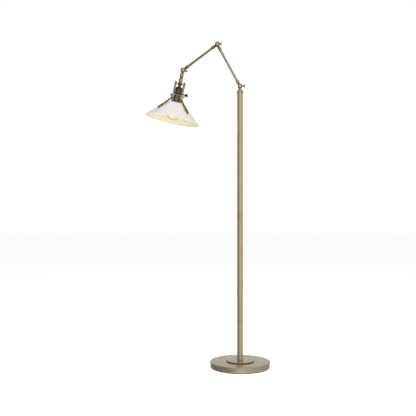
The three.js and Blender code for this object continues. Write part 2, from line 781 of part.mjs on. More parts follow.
function bulbCap() {
  const { cap: radius, capTop, capEnd } = bulb;
  return turned(
    [
      [0, capTop - 1.4], [4, capTop - 1.4], [5.5, capTop], [radius - 2.4, capTop + 1],
      [radius, capTop + 4], [radius, capEnd], [radius - 0.9, capEnd],
      [radius - 0.9, capTop + 5], [0, capTop + 3],
    ],
    SIDES.rod,
  );
}

// Glass envelope, open at the neck where the cap is cemented on.
function bulbGlass() {
  const { cap: neckRadius, capEnd, radius, tip, glass } = bulb;
  const points = [
    [neckRadius, capEnd + GAP], [neckRadius + 0.3, capEnd + 8.6], [17, capEnd + 17],
    [23.5, tip - 53.4], [28.7, tip - 40.4], [radius, tip - 29.4], [27.6, tip - 16.9],
    [21.4, tip - 7.4], [11.5, tip - 1.6], [0, tip],
  ];
  const inner = points.map(([r, z], i) => {
    if (i === points.length - 1) return [0, z - glass];
    const [before, after] = [points[Math.max(i - 1, 0)], points[i + 1]];
    const [dr, dz] = [after[0] - before[0], after[1] - before[1]];
    const size = Math.hypot(dr, dz);
    return [r - (glass * dz) / size, z + (glass * dr) / size];
  });
  inner[0][1] = points[0][1];
  return turned([...points.reverse(), ...inner], SIDES.rod);
}

// Glass stem, and the wound filament that it holds up as a ring.
function bulbStem() {
  const floor = bulb.capEnd - 4;
  return turned(
    [[0, floor], [10.5, floor], [9.6, floor + 3], [3.4, floor + 16], [2.6, floor + 34],
      [4.4, floor + 36], [9.5, floor + 42], [9.5, floor + 43.4], [3.4, floor + 42], [0, floor + 40]],
    SIDES.small,
  );
}

function head() {
  const group = jointFrame(arm.upper, bearing.head - bearing.upper);
  const left = yoke.post; // the head's +X points away from the pole
  group.add(
    ...headMount(),
    piece("swivel_collar", swivelCollar(), softBrass),
    piece("yoke_bar", yokeBar(), darkBronze),
    piece("yoke_post_left", yokePost(1), softBrass),
    piece("yoke_post_right", yokePost(-1), softBrass),
    piece("post_finial_left", postFinial().translate(left, 0, 0), softBrass),
    piece("post_finial_right", postFinial().translate(-left, 0, 0), softBrass),
    piece("socket_neck", socketNeck(), darkBronze),
    piece("socket_cap", socketCap(), darkBronze),
    piece("socket_core", socketCore(), phenolic),
    piece("socket_shell", socketShell(), darkBronze),
    piece("gallery_ring", galleryRing(), yellowBrass),
    piece("turn_key", turnKey(), darkBronze),
    piece("shade", shadeCone(), enamel),
    piece("bulb_cap", bulbCap(), yellowBrass),
    piece("bulb_glass", bulbGlass(), clearGlass),
    piece("bulb_stem", bulbStem(), clearGlass),
  );
  strutAzimuths.forEach((azimuth, i) => {
    const number = i + 1;
    group.add(
      piece(`strut_rod_${number}`, strutRod(azimuth), oliveBronze),
      piece(`strut_ball_${number}`, strutBall(azimuth), yellowBrass),
      piece(`strut_nut_${number}`, strutNut(azimuth), steel),
      piece(`strut_screw_${number}`, strutScrew(azimuth), darkBronze),
    );
  });
  return group;
}

// ---------------------------------------------------------------- the whole lamp

const lamp = new THREE.Group();
lamp.name = "pharmacy_floor_lamp";
const [turretGroup, lowerGroup, upperGroup] = [turret(), lowerArm(), upperArm()];
upperGroup.add(head());
lowerGroup.add(upperGroup);
turretGroup.add(lowerGroup);
lamp.add(stand(), turretGroup);

export default lamp;
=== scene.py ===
"""The looks of a pharmacy floor lamp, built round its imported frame.

A weighted round base, a drawn pole, two jointed arms held by wing screws and a conical enamel
shade hung below a socket yoke. Sizes are millimetres in each sub-assembly's own frame; a piece
is brought to metres and to its place in the lamp as it is finished.
"""

from __future__ import annotations

import json
import logging
import math
from dataclasses import dataclass, field
from enum import Enum
from typing import Callable, Iterable, Sequence

import bpy
from mathutils import Matrix, Vector


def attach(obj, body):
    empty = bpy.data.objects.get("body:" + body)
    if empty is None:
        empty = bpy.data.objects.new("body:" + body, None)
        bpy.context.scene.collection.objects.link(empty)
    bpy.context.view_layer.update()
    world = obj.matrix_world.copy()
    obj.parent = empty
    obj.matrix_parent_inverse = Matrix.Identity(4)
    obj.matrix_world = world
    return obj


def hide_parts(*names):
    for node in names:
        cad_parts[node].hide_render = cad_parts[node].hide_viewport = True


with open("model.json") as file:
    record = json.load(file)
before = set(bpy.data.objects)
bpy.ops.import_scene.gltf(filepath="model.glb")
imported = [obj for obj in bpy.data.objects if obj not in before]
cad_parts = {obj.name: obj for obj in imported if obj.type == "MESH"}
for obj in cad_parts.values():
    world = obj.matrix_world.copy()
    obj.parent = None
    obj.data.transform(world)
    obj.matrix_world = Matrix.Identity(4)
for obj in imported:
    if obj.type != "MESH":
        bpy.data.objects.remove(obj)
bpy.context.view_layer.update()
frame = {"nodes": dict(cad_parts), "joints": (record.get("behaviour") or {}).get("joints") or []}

LOG = logging.getLogger("floor_lamp")
MM = 0.001
GAP = 0.3  # clearance between pieces that touch, as in the frame

Mesh = bpy.types.Mesh
Object = bpy.types.Object
Material = bpy.types.Material
Node = bpy.types.Node
NodeSocket = bpy.types.NodeSocket
Point = tuple[float, float]
Rgb = tuple[int, int, int]  # display colour, 0 to 255


class Slot(Enum):
    """Material slots of the record."""

    BRASS = "soft_brass"
    YELLOW_BRASS = "yellow_brass"
    OLIVE_BRONZE = "olive_bronze"
    DARK_BRONZE = "dark_bronze"
    ENAMEL = "enamel_white"
    STEEL = "steel_zinc"
    IRON = "cast_iron"
    FELT = "felt"
    PHENOLIC = "phenolic"
    WIRE = "wire_jacket"
    GLASS = "bulb_glass"


class Grain(Enum):
    """How the tool marks of a finish run in a piece's own frame."""

    DRAWN = "along the axis"
    SPUN = "round the axis"
    CAST = "no direction"


# ---- frames and joints


@dataclass(frozen=True)
class Placement:
    """Where a piece's own millimetre frame lies in the lamp.

    Args:
        origin: Origin in metres.
        up: Direction of the piece's own +Z.
        side: Direction that the piece's own +Y comes closest to.
    """

    origin: Vector = Vector((0, 0, 0))
    up: Vector = Vector((0, 0, 1))
    side: Vector = Vector((0, 1, 0))

    def rotation(self) -> Matrix:
        """Returns the turn from the piece's frame to the lamp's, as a 3x3 matrix."""
        z_axis = self.up.normalized()
        x_axis = self.side.cross(z_axis).normalized()
        return Matrix((x_axis, z_axis.cross(x_axis), z_axis)).transposed()

    def matrix(self) -> Matrix:
        """Returns the whole move from millimetres in the piece's frame to metres in the lamp."""
        return Matrix.Translation(self.origin) @ self.rotation().to_4x4() @ Matrix.Scale(MM, 4)

    def shifted(self, along: float) -> Placement:
        """Returns this placement moved along its own +Z by a number of millimetres."""
        return Placement(self.origin + self.up.normalized() * along * MM, self.up, self.side)


def joint(name: str) -> dict:
    """Returns the frame's joint of that name."""
    return next(j for j in frame["joints"] if j["name"] == name)


def pivot_point(name: str) -> Vector:
    """Returns a joint's point in metres."""
    return Vector(joint(name)["pos_m"])


SHOULDER = pivot_point("shoulder_tilt")
ELBOW = pivot_point("elbow_tilt")
WRIST = pivot_point("wrist_tilt")
HEAD_AXIS = Vector(joint("head_swivel")["axis"])

STAND_PLACE = Placement()
TURRET_PLACE = Placement(SHOULDER)
LOWER_ARM_PLACE = Placement(SHOULDER, ELBOW - SHOULDER)
UPPER_ARM_PLACE = Placement(ELBOW, WRIST - ELBOW)
HEAD_PLACE = Placement(WRIST, HEAD_AXIS)


def lean(direction: Vector, place: Placement) -> float:
    """Measures a direction in the plane of the arms.

    Args:
        direction: A direction in the lamp's frame.
        place: The frame to measure it in.

    Returns:
        The angle in radians from the placement's +Z towards its +X.
    """
    local = place.rotation().inverted() @ direction
    return math.atan2(local.x, local.z)


def swing(name: str) -> tuple[float, float]:
    """Returns a hinge's least and greatest turn about +Y, in radians."""
    turning = joint(name)
    low, high = (math.radians(angle) for angle in turning["range_deg"])
    return (low, high) if turning["axis"][1] > 0 else (-high, -low)


# ---- outlines and meshes


def rounded(outline: Sequence[Point], radius: float, steps: int = 3) -> list[Point]:
    """Rounds the corners of an outline.

    Args:
        outline: Corner points. It is closed, unless it starts and ends on the axis, where x is 0.
        radius: Length taken off each side of a corner, at most two fifths of the side.
        steps: Straight pieces in each rounded corner.

    Returns:
        The outline with each corner replaced by a short curve.
    """
    is_open = abs(outline[0][0]) < 1e-9 and abs(outline[-1][0]) < 1e-9
    made: list[Point] = []
    count = len(outline)
    for i, (x, y) in enumerate(outline):
        if is_open and i in (0, count - 1):
            made.append((x, y))
            continue
        here = Vector((x, y))
        before = Vector(outline[i - 1]) - here
        after = Vector(outline[(i + 1) % count]) - here
        cut = min(radius, 0.4 * before.length, 0.4 * after.length)
        start = here + before.normalized() * cut
        end = here + after.normalized() * cut
        for k in range(steps + 1):
            t = k / steps
            spot = start * (1 - t) ** 2 + here * (2 * t * (1 - t)) + end * t**2
            made.append((spot.x, spot.y))
    return made


def smooth_line(points: Sequence[Point], steps: int = 8) -> list[Point]:
    """Draws a smooth line through points, as a Catmull-Rom curve.

    Args:
        points: The points that the line passes through.
        steps: Straight pieces between each two points.

    Returns:
        The points of the line.
    """
    spots = [Vector(p) for p in points]
    padded = [spots[0] * 2 - spots[1], *spots, spots[-1] * 2 - spots[-2]]
    made: list[Point] = []
    for a, b, c, d in zip(padded, padded[1:], padded[2:], padded[3:]):
        for k in range(steps):
            t = k / steps
            spot = 0.5 * (
                2 * b + (c - a) * t + (2 * a - 5 * b + 4 * c - d) * t**2
                + (3 * b - a - 3 * c + d) * t**3
            )
            made.append((spot.x, spot.y))
    made.append(tuple(spots[-1]))
    return made


def mesh_of(name: str, points: Sequence[Sequence[float]], faces: Sequence[Sequence[int]]) -> Mesh:
    """Returns a mesh from points and faces."""
    mesh = bpy.data.meshes.new(name)
    mesh.from_pydata([tuple(p) for p in points], [], faces)
    mesh.validate()
    return mesh


def outward(outline: Sequence[Point]) -> list[Point]:
    """Returns an outline in the order that makes the faces of its body point outwards."""
    following = [*outline[1:], outline[0]]
    area = sum(x * after[1] - after[0] * z for (x, z), after in zip(outline, following))
    return list(outline) if area > 0 else list(reversed(outline))


def turned(outline: Sequence[Point], sides: int = 64) -> Mesh:
    """Revolves an outline of (radius, height) points round +Z into a closed body.

    Args:
        outline: Closed, unless it starts and ends on the axis.
        sides: Faces round the axis.

    Returns:
        The mesh, facing outwards.
    """
    line = outward(outline)
    on_axis = [abs(r) < 1e-9 for r, _ in line]
    points: list[Sequence[float]] = []
    rows: list[list[int]] = []
    for (r, z), polar in zip(line, on_axis):
        if polar:
            rows.append([len(points)] * sides)
            points.append((0.0, 0.0, z))
            continue
        rows.append(list(range(len(points), len(points) + sides)))
        for k in range(sides):
            angle = 2 * math.pi * k / sides
            points.append((r * math.cos(angle), r * math.sin(angle), z))
    faces: list[list[int]] = []
    pairs = list(zip(rows, rows[1:]))
    if not on_axis[0]:
        pairs.append((rows[-1], rows[0]))
    for low, high in pairs:
        for k in range(sides):
            n = (k + 1) % sides
            corners = [low[k], low[n], high[n], high[k]]
            face = list(dict.fromkeys(corners))
            if len(face) > 2:
                faces.append(face)
    return mesh_of("turned", points, faces)


def bar(radius: float, start: float, end: float, sides: int = 48) -> Mesh:
    """Returns a plain round bar along +Z, which cuts a round hole."""
    return turned([(0, start), (radius, start), (radius, end), (0, end)], sides)


def prism(outline: Sequence[Point], low: float, high: float) -> Mesh:
    """Extrudes a closed outline in the XZ plane along Y.

    Args:
        outline: (x, z) points, in either order.
        low: Least y.
        high: Greatest y.

    Returns:
        The mesh, facing outwards.
    """
    count = len(outline)
    line = outward(outline)
    points = [(x, low, z) for x, z in line] + [(x, high, z) for x, z in line]
    faces = [list(range(count)), list(range(2 * count - 1, count - 1, -1))]
    for i in range(count):
        n = (i + 1) % count
        faces.append([n, i, i + count, n + count])
    return mesh_of("prism", points, faces)


def oblong(half: float, low: float, high: float) -> list[Point]:
    """Returns the outline of a box centred on x = 0."""
    return [(-half, low), (half, low), (half, high), (-half, high)]


def mirrored(side: list[Point]) -> list[Point]:
    """Returns an outline whose right side is given, ending on x = 0."""
    return side + [(-x, z) for x, z in reversed(side[:-1])]


def moved(mesh: Mesh, *moves: Matrix) -> Mesh:
    """Applies moves to a mesh in the order given, and returns the mesh."""
    for move in moves:
        mesh.transform(move)
    return mesh


def turn(angle: float, axis: str) -> Matrix:
    """Returns a turn by an angle in radians about a named axis."""
    return Matrix.Rotation(angle, 4, axis)


def shift(x: float, y: float, z: float) -> Matrix:
    """Returns a move by a vector."""
    return Matrix.Translation((x, y, z))


def across(mesh: Mesh) -> Mesh:
    """Lays a mesh made along +Z down along +Y, and returns it."""
    return moved(mesh, turn(-math.pi / 2, "X"))


def stand_in(mesh: Mesh, name: str = "bench") -> Object:
    """Returns a linked object that holds a mesh while modifiers work on it."""
    holder = bpy.data.objects.new(name, mesh)
    bpy.context.scene.collection.objects.link(holder)
    return holder


def settled(holder: Object) -> Mesh:
    """Turns an object with its modifiers into a plain mesh and removes the object."""
    depsgraph = bpy.context.evaluated_depsgraph_get()
    mesh = bpy.data.meshes.new_from_object(holder.evaluated_get(depsgraph), depsgraph=depsgraph)
    bpy.data.objects.remove(holder)
    return mesh


def fitted(
    body: Mesh,
    joined: Iterable[Mesh] = (),
    cut: Iterable[Mesh] = (),
    kept: Iterable[Mesh] = (),
) -> Mesh:
    """Joins and cuts closed meshes.

    Args:
        body: What the others are joined to and cut from.
        joined: Bodies to add.
        cut: Bodies to take away afterwards.
        kept: Bodies that limit the result to what they share with it.

    Returns:
        One closed mesh.
    """
    holder = stand_in(body)
    tools: list[Object] = []
    jobs = (("UNION", joined), ("DIFFERENCE", cut), ("INTERSECT", kept))
    for operation, meshes in jobs:
        for mesh in meshes:
            tool = stand_in(mesh, "tool")
            tools.append(tool)
            modifier = holder.modifiers.new("fit", "BOOLEAN")
            modifier.operation = operation
            modifier.solver = "EXACT"
            modifier.object = tool
    mesh = settled(holder)
    for tool in tools:
        bpy.data.objects.remove(tool)
    return mesh


def cast(mesh: Mesh, voxel: float = 0.34, rounds: int = 5, keep: float = 0.3) -> Mesh:
    """Softens the edges of a body as those of a polished casting are.

    Args:
        mesh: A closed mesh in millimetres.
        voxel: Size of the grid that it is rebuilt on.
        rounds: How many times the new surface is smoothed.
        keep: Share of the faces that stay.

    Returns:
        The softened mesh.
    """
    holder = stand_in(mesh)
    grid = holder.modifiers.new("grid", "REMESH")
    grid.mode = "VOXEL"
    grid.voxel_size = voxel
    soften = holder.modifiers.new("soften", "SMOOTH")
    soften.factor = 0.5
    soften.iterations = rounds
    thin = holder.modifiers.new("thin", "DECIMATE")
    thin.ratio = keep
    return settled(holder)


# ---- recipes in geometry nodes


class NodeTree:
    """A node tree under construction, for geometry or for a material."""

    tree: bpy.types.NodeTree
    prefix: str  # of the node types that go by a short name

    def add(
        self, kind: str, values: dict[str | int, object] | None = None, **settings: object
    ) -> Node:
        """Adds a node.

        Args:
            kind: The node's type without the tree's own prefix, or a full Shader name.
            values: Inputs by name or place; a socket is linked and anything else is set.
            settings: The node's own settings.

        Returns:
            The node.
        """
        node = self.tree.nodes.new(kind if kind.startswith("Shader") else self.prefix + kind)
        for label, value in settings.items():
            setattr(node, label, value)
        for key, value in (values or {}).items():
            self.feed(node, key, value)
        return node

    def feed(self, node: Node, key: str | int, value: object) -> None:
        """Links a socket to a node's input, or sets the input to a constant."""
        if isinstance(value, NodeSocket):
            self.tree.links.new(value, node.inputs[key])
        else:
            node.inputs[key].default_value = value

    def math(self, operation: str, first: object, second: object = 0.0) -> NodeSocket:
        """Adds a calculation and returns its socket."""
        values = {0: first, 1: second}
        return self.add("ShaderNodeMath", values, operation=operation).outputs[0]


    def blend(self, share: object, first: object, second: object, kind: str = "MIX") -> NodeSocket:
        """Mixes or multiplies two colours by a share and returns the colour."""
        values = {0: share, 6: first, 7: second}
        mix = self.add("ShaderNodeMix", data_type="RGBA", blend_type=kind)
        for place, value in values.items():
            self.feed(mix, place, value)
        return mix.outputs[2]


class Recipe(NodeTree):
    """A Geometry Nodes tree that grows plain meshes from a host mesh and named sizes."""

    prefix = "GeometryNode"

    def __init__(self, name: str, sizes: dict[str, float | int]) -> None:
        """Makes an empty tree.

        Args:
            name: Name of the tree.
            sizes: Inputs with their defaults; a whole number makes an integer input.
        """
        self.tree = bpy.data.node_groups.new(name, "GeometryNodeTree")
        face = self.tree.interface
        face.new_socket("Host", in_out="INPUT", socket_type="NodeSocketGeometry")
        for label, default in sizes.items():
            kind = "NodeSocketInt" if isinstance(default, int) else "NodeSocketFloat"
            face.new_socket(label, in_out="INPUT", socket_type=kind).default_value = default
        face.new_socket("Finish", in_out="INPUT", socket_type="NodeSocketMaterial")
        face.new_socket("Grown", in_out="OUTPUT", socket_type="NodeSocketGeometry")
        self.inputs = self.tree.nodes.new("NodeGroupInput").outputs

    def joined(self, grown: NodeSocket) -> None:
        """Ends the tree with the host mesh and what was grown on it."""
        both = self.add("JoinGeometry")
        self.tree.links.new(self.inputs["Host"], both.inputs[0])
        self.tree.links.new(grown, both.inputs[0])
        self.close(both.outputs[0])

    def close(self, shape: NodeSocket) -> None:
        """Ends the tree: real meshes, with the finish set."""
        real = self.add("RealizeInstances", {0: shape})
        dressed = self.add(
            "SetMaterial", {"Geometry": real.outputs[0], "Material": self.inputs["Finish"]}
        )
        output = self.tree.nodes.new("NodeGroupOutput")
        self.tree.links.new(dressed.outputs[0], output.inputs[0])

    def grow(self, host: Mesh | None = None, **sizes: float | int) -> Mesh:
        """Runs the tree.

        Args:
            host: Mesh that enters the tree, if it uses one.
            sizes: Values for the named inputs, with _ for a space.

        Returns:
            A plain mesh.
        """
        holder = stand_in(host or bpy.data.meshes.new("seed"))
        modifier = holder.modifiers.new("recipe", "NODES")
        modifier.node_group = self.tree
        sockets = {
            item.name: item.identifier
            for item in self.tree.interface.items_tree
            if item.in_out == "INPUT"
        }
        for label, value in sizes.items():
            modifier[sockets[label.replace("_", " ")]] = value
        return settled(holder)


def thread_recipe() -> Recipe:
    """Returns a recipe for a screw thread: a round wire wound along +Z, joined to its host."""
    recipe = Recipe(
        "thread",
        {"Radius": 5.0, "Start": 0.0, "Length": 10.0, "Turns": 5.0, "Wire": 0.4, "Sides": 24}
    )
    given = recipe.inputs
    spiral = recipe.add(
        "CurveSpiral",
        {
            "Resolution": given["Sides"], "Rotations": given["Turns"],
            "Start Radius": given["Radius"], "End Radius": given["Radius"],
            "Height": given["Length"],
        },
    )
    wire = recipe.add("CurvePrimitiveCircle", {"Resolution": 8, "Radius": given["Wire"]})
    swept = recipe.add(
        "CurveToMesh",
        {"Curve": spiral.outputs[0], "Profile Curve": wire.outputs[0], "Fill Caps": True},
    )
    offset = recipe.add("ShaderNodeCombineXYZ", {"Z": given["Start"]})
    placed = recipe.add(
        "Transform", {"Geometry": swept.outputs[0], "Translation": offset.outputs[0]}
    )
    recipe.joined(placed.outputs[0])
    return recipe


def rib_recipe() -> Recipe:
    """Returns a recipe for even rings stacked along +Z on a host sleeve."""
    recipe = Recipe(
        "ribs", {"Radius": 15.0, "Start": 0.0, "Pitch": 4.0, "Count": 5, "Wire": 0.8, "Sides": 64}
    )
    given = recipe.inputs
    circle = recipe.add(
        "CurvePrimitiveCircle", {"Resolution": given["Sides"], "Radius": given["Radius"]}
    )
    wire = recipe.add("CurvePrimitiveCircle", {"Resolution": 12, "Radius": given["Wire"]})
    ring = recipe.add("CurveToMesh", {"Curve": circle.outputs[0], "Profile Curve": wire.outputs[0]})
    start = recipe.add("ShaderNodeCombineXYZ", {"Z": given["Start"]})
    step = recipe.add("ShaderNodeCombineXYZ", {"Z": given["Pitch"]})
    line = recipe.add(
        "MeshLine",
        {"Count": given["Count"], "Start Location": start.outputs[0], "Offset": step.outputs[0]},
    )
    rings = recipe.add("InstanceOnPoints", {"Points": line.outputs[0], "Instance": ring.outputs[0]})
    recipe.joined(rings.outputs[0])
    return recipe


def around_recipe() -> Recipe:
    """Returns a recipe that repeats its host round +Z, one pitch angle apart."""
    recipe = Recipe("around", {"Count": 3, "First": 0.0, "Pitch": 2.0})
    given = recipe.inputs
    line = recipe.add("MeshLine", {"Count": given["Count"], "Offset": (0.0, 0.0, 0.0)})
    index = recipe.add("InputIndex")
    angle = recipe.math(
        "ADD", recipe.math("MULTIPLY", index.outputs[0], given["Pitch"]), given["First"]
    )
    facing = recipe.add("ShaderNodeCombineXYZ", {"Z": angle})
    copies = recipe.add(
        "InstanceOnPoints",
        {"Points": line.outputs[0], "Instance": given["Host"], "Rotation": facing.outputs[0]},
    )
    recipe.close(copies.outputs[0])
    return recipe


def knurl_recipe() -> Recipe:
    """Returns a recipe for a host ring with fine ridges along +Z all round it."""
    recipe = Recipe(
        "knurl", {"Radius": 6.0, "Start": 0.0, "Length": 3.0, "Ridge": 0.3, "Count": 36}
    )
    given = recipe.inputs
    ridge = recipe.add(
        "MeshCylinder",
        {"Vertices": 6, "Radius": given["Ridge"], "Depth": given["Length"]},
    )
    circle = recipe.add("MeshCircle", {"Vertices": given["Count"], "Radius": given["Radius"]})
    middle = recipe.math("ADD", given["Start"], recipe.math("MULTIPLY", given["Length"], 0.5))
    offset = recipe.add("ShaderNodeCombineXYZ", {"Z": middle})
    lifted = recipe.add(
        "Transform", {"Geometry": circle.outputs[0], "Translation": offset.outputs[0]}
    )
    ridges = recipe.add(
        "InstanceOnPoints", {"Points": lifted.outputs[0], "Instance": ridge.outputs[0]}
    )
    recipe.joined(ridges.outputs[0])
    return recipe


def filament_recipe() -> Recipe:
    """Returns a recipe for a filament wire that zigzags round +Z between two rings."""
    recipe = Recipe(
        "filament",
        {"Low": 0.0, "High": 20.0, "Inner": 4.0, "Outer": 9.0, "Bends": 12, "Wire": 0.35}
    )
    given = recipe.inputs
    line = recipe.add("MeshLine", {"Count": given["Bends"], "Offset": (0.0, 0.0, 0.0)})
    index = recipe.add("InputIndex").outputs[0]
    odd = recipe.math("MODULO", index, 2.0)
    share = recipe.math("DIVIDE", index, given["Bends"])
    angle = recipe.math("MULTIPLY", share, 1.75 * math.pi)
    width = recipe.math("SUBTRACT", given["Outer"], given["Inner"])
    radius = recipe.math("ADD", given["Inner"], recipe.math("MULTIPLY", odd, width))
    height = recipe.math("SUBTRACT", given["High"], given["Low"])
    place = recipe.add(
        "ShaderNodeCombineXYZ",
        {
            "X": recipe.math("MULTIPLY", radius, recipe.math("COSINE", angle)),
            "Y": recipe.math("MULTIPLY", radius, recipe.math("SINE", angle)),
            "Z": recipe.math("ADD", given["Low"], recipe.math("MULTIPLY", odd, height)),
        },
    )
    bent = recipe.add("SetPosition", {"Geometry": line.outputs[0], "Position": place.outputs[0]})
    path = recipe.add("MeshToCurve", {"Mesh": bent.outputs[0]})
    soft = recipe.add("FilletCurve", {"Curve": path.outputs[0], "Radius": 0.9})
    wire = recipe.add("CurvePrimitiveCircle", {"Resolution": 8, "Radius": given["Wire"]})
    swept = recipe.add(
        "CurveToMesh",
        {"Curve": soft.outputs[0], "Profile Curve": wire.outputs[0], "Fill Caps": True},
    )
    recipe.close(swept.outputs[0])
    return recipe


# ---- finishes


def linear(red: int, green: int, blue: int) -> tuple[float, float, float, float]:
    """Returns a display colour of 0 to 255 as the linear colour that shaders read."""
    shares = (value / 255 for value in (red, green, blue))
    return (*(s / 12.92 if s <= 0.04045 else ((s + 0.055) / 1.055) ** 2.4 for s in shares), 1.0)


class Paint(NodeTree):
    """One material: a Principled shader whose patterns are laid in a piece's own millimetres."""

    prefix = "ShaderNode"

    def __init__(self, name: str, place: Placement) -> None:
        """Makes the material with its shader and its coordinates.

        Args:
            name: Name of the material.
            place: Frame that the pattern lies in.
        """
        self.material = bpy.data.materials.new(name)
        self.material.use_nodes = True
        self.tree = self.material.node_tree
        self.shader = self.tree.nodes["Principled BSDF"]
        spot = self.add("TexCoord").outputs["Object"]
        frame_map = self.add("Mapping", {"Vector": spot}, vector_type="TEXTURE")
        frame_map.inputs["Location"].default_value = place.origin
        frame_map.inputs["Rotation"].default_value = place.rotation().to_euler()
        frame_map.inputs["Scale"].default_value = (MM, MM, MM)
        self.spot = frame_map.outputs[0]

    def stretched(self, x: float, y: float, z: float) -> NodeSocket:
        """Returns the coordinates scaled by a factor on each axis."""
        return self.add("VectorMath", {0: self.spot, 1: (x, y, z)}, operation="MULTIPLY").outputs[0]

    def ringed(self, drift: float = 0.15) -> NodeSocket:
        """Returns coordinates that stay nearly the same all round the axis.

        Args:
            drift: How much a pattern wanders round the axis.
        """
        parts = self.add("SeparateXYZ", {0: self.spot}).outputs
        squares = self.math(
            "ADD", self.math("POWER", parts[0], 2.0), self.math("POWER", parts[1], 2.0)
        )
        reach = self.math("SQRT", squares)
        angle = self.math("MULTIPLY", self.math("ARCTAN2", parts[1], parts[0]), drift)
        return self.add("CombineXYZ", {0: reach, 1: angle, 2: parts[2]}).outputs[0]

    def noise(
        self, spot: NodeSocket, scale: float, detail: float = 3.0, rough: float = 0.5
    ) -> NodeSocket:
        """Adds noise over the given coordinates and returns its value."""
        values = {"Vector": spot, "Scale": scale, "Detail": detail, "Roughness": rough}
        return self.add("TexNoise", values).outputs[0]

    def between(
        self, value: NodeSocket, low: float, high: float, start: float = 0.0,
        end: float = 1.0
    ) -> NodeSocket:
        """Maps a value from low..high to start..end, held at both ends."""
        places = {0: value, 1: low, 2: high, 3: start, 4: end}
        return self.add("MapRange", places).outputs[0]

    def relief(self, height: NodeSocket, depth: float, strength: float = 1.0) -> None:
        """Adds a height in millimetres to the surface's relief.

        Args:
            height: The pattern, from 0 to 1.
            depth: Its depth in millimetres.
            strength: Share of it that shows.
        """
        values: dict[str | int, object] = {
            "Height": height, "Distance": depth * MM, "Strength": strength
        }
        if self.shader.inputs["Normal"].is_linked:
            values["Normal"] = self.shader.inputs["Normal"].links[0].from_socket
        bump = self.add("Bump", values)
        self.tree.links.new(bump.outputs[0], self.shader.inputs["Normal"])

    def wire(self, label: str, socket: NodeSocket) -> None:
        """Links a socket to the shader's input of that name."""
        self.tree.links.new(socket, self.shader.inputs[label])

    def set(self, **values: object) -> None:
        """Sets constants on the shader, with _ for a space in their names."""
        for label, value in values.items():
            self.shader.inputs[label.replace("_", " ")].default_value = value


@dataclass(frozen=True)
class MetalFinish:
    """A bare, plated or bronzed metal.

    Args:
        name: Name of the finish.
        tone: Its colour where it is clean.
        stain: Its colour where it has dulled.
        roughness: Least and greatest roughness.
        grain_depth: Depth of the tool marks in millimetres.
        dulled: How much of the surface has dulled, from 0 to 1.
        worn: How bright the edges have worn, from 0 to 1.
    """

    name: str
    tone: Rgb
    stain: Rgb
    roughness: tuple[float, float]
    grain_depth: float
    dulled: float = 0.4
    worn: float = 0.0
    metal: float = 1.0

    def dressed(self, grain: Grain, place: Placement) -> Material:
        """Builds the material.

        Args:
            grain: How the tool marks run.
            place: Frame whose +Z is the axis of the marks.

        Returns:
            The material.
        """
        paint = Paint(f"{self.name}_{grain.name.lower()}", place)
        run = {
            Grain.DRAWN: lambda: paint.stretched(1.0, 1.0, 0.012),
            Grain.SPUN: lambda: paint.ringed(0.12),
            Grain.CAST: lambda: paint.stretched(1.0, 1.0, 1.0),
        }[grain]()
        fine = paint.noise(run, 5.5 if grain is not Grain.CAST else 2.6, 3.0, 0.6)
        broad = paint.noise(run, 0.9, 2.0)
        cloud = paint.noise(paint.stretched(1.0, 1.0, 0.5), 0.045, 4.0, 0.62)
        patina = paint.between(cloud, 0.62 - 0.3 * self.dulled, 0.78, 0.0, self.dulled)
        streak = paint.math("MULTIPLY", paint.between(broad, 0.4, 0.75), 0.35 * self.dulled)
        dull = paint.math("MINIMUM", paint.math("ADD", patina, streak), 1.0)
        colour = paint.blend(dull, linear(*self.tone), linear(*self.stain))
        if self.worn:
            edges = paint.add("NewGeometry").outputs["Pointiness"]
            rubbed = paint.math("MULTIPLY", paint.between(edges, 0.52, 0.58), self.worn)
            flecks = paint.between(paint.noise(paint.spot, 0.9, 4.0), 0.42, 0.6)
            bright = tuple(min(255, round(value * 1.9 + 34)) for value in self.tone)
            colour = paint.blend(paint.math("MULTIPLY", rubbed, flecks), colour, linear(*bright))
        paint.wire("Base Color", colour)
        rough = paint.math(
            "ADD", paint.math("MULTIPLY", fine, 0.5), paint.math("MULTIPLY", cloud, 0.5)
        )
        paint.wire("Roughness", paint.between(rough, 0.36, 0.64, *self.roughness))
        paint.relief(cloud, 0.05, 0.25)
        paint.relief(fine, self.grain_depth)
        paint.set(Metallic=self.metal)
        return paint.material


@dataclass(frozen=True)
class Finish:
    """A finish whose pattern has no direction of its own."""

    name: str

    def lay(self, paint: Paint) -> None:
        """Lays the finish's colours and relief on a new material."""
        raise NotImplementedError

    def dressed(self, place: Placement) -> Material:
        """Builds the material.

        Args:
            place: Frame that the pattern lies in.

        Returns:
            The material.
        """
        paint = Paint(self.name, place)
        self.lay(paint)
        return paint.material


@dataclass(frozen=True)
class EnamelFinish(Finish):
    """Glossy baked enamel; a warmer tone and a faint glow on the lining are painted bulb light."""

    tone: Rgb
    shadow: Rgb
    roughness: float
    painted_glow: float = 0.0

    def lay(self, paint: Paint) -> None:
        """Lays a faint orange peel and dust-soft patches."""
        cloud = paint.noise(paint.spot, 0.02, 4.0, 0.55)
        peel = paint.noise(paint.spot, 0.35, 2.0, 0.4)
        rings = paint.noise(paint.ringed(0.2), 0.5, 2.0)
        tint = paint.math(
            "ADD", paint.between(cloud, 0.4, 0.7, 0.0, 0.5),
            paint.between(rings, 0.5, 0.8, 0.0, 0.2)
        )
        colour = paint.blend(tint, linear(*self.tone), linear(*self.shadow))
        paint.wire("Base Color", colour)
        paint.wire(
            "Roughness", paint.between(cloud, 0.35, 0.65, self.roughness, self.roughness + 0.08)
        )
        paint.relief(peel, 0.012, 0.5)
        paint.relief(rings, 0.006, 0.4)
        paint.set(Coat_Weight=0.5, Coat_Roughness=0.06, IOR=1.5)
        # Painted light: the lining glows faintly, standing in for the lit bulb's light on it.
        if self.painted_glow:
            paint.wire("Emission Color", colour)
            paint.set(Emission_Strength=self.painted_glow)


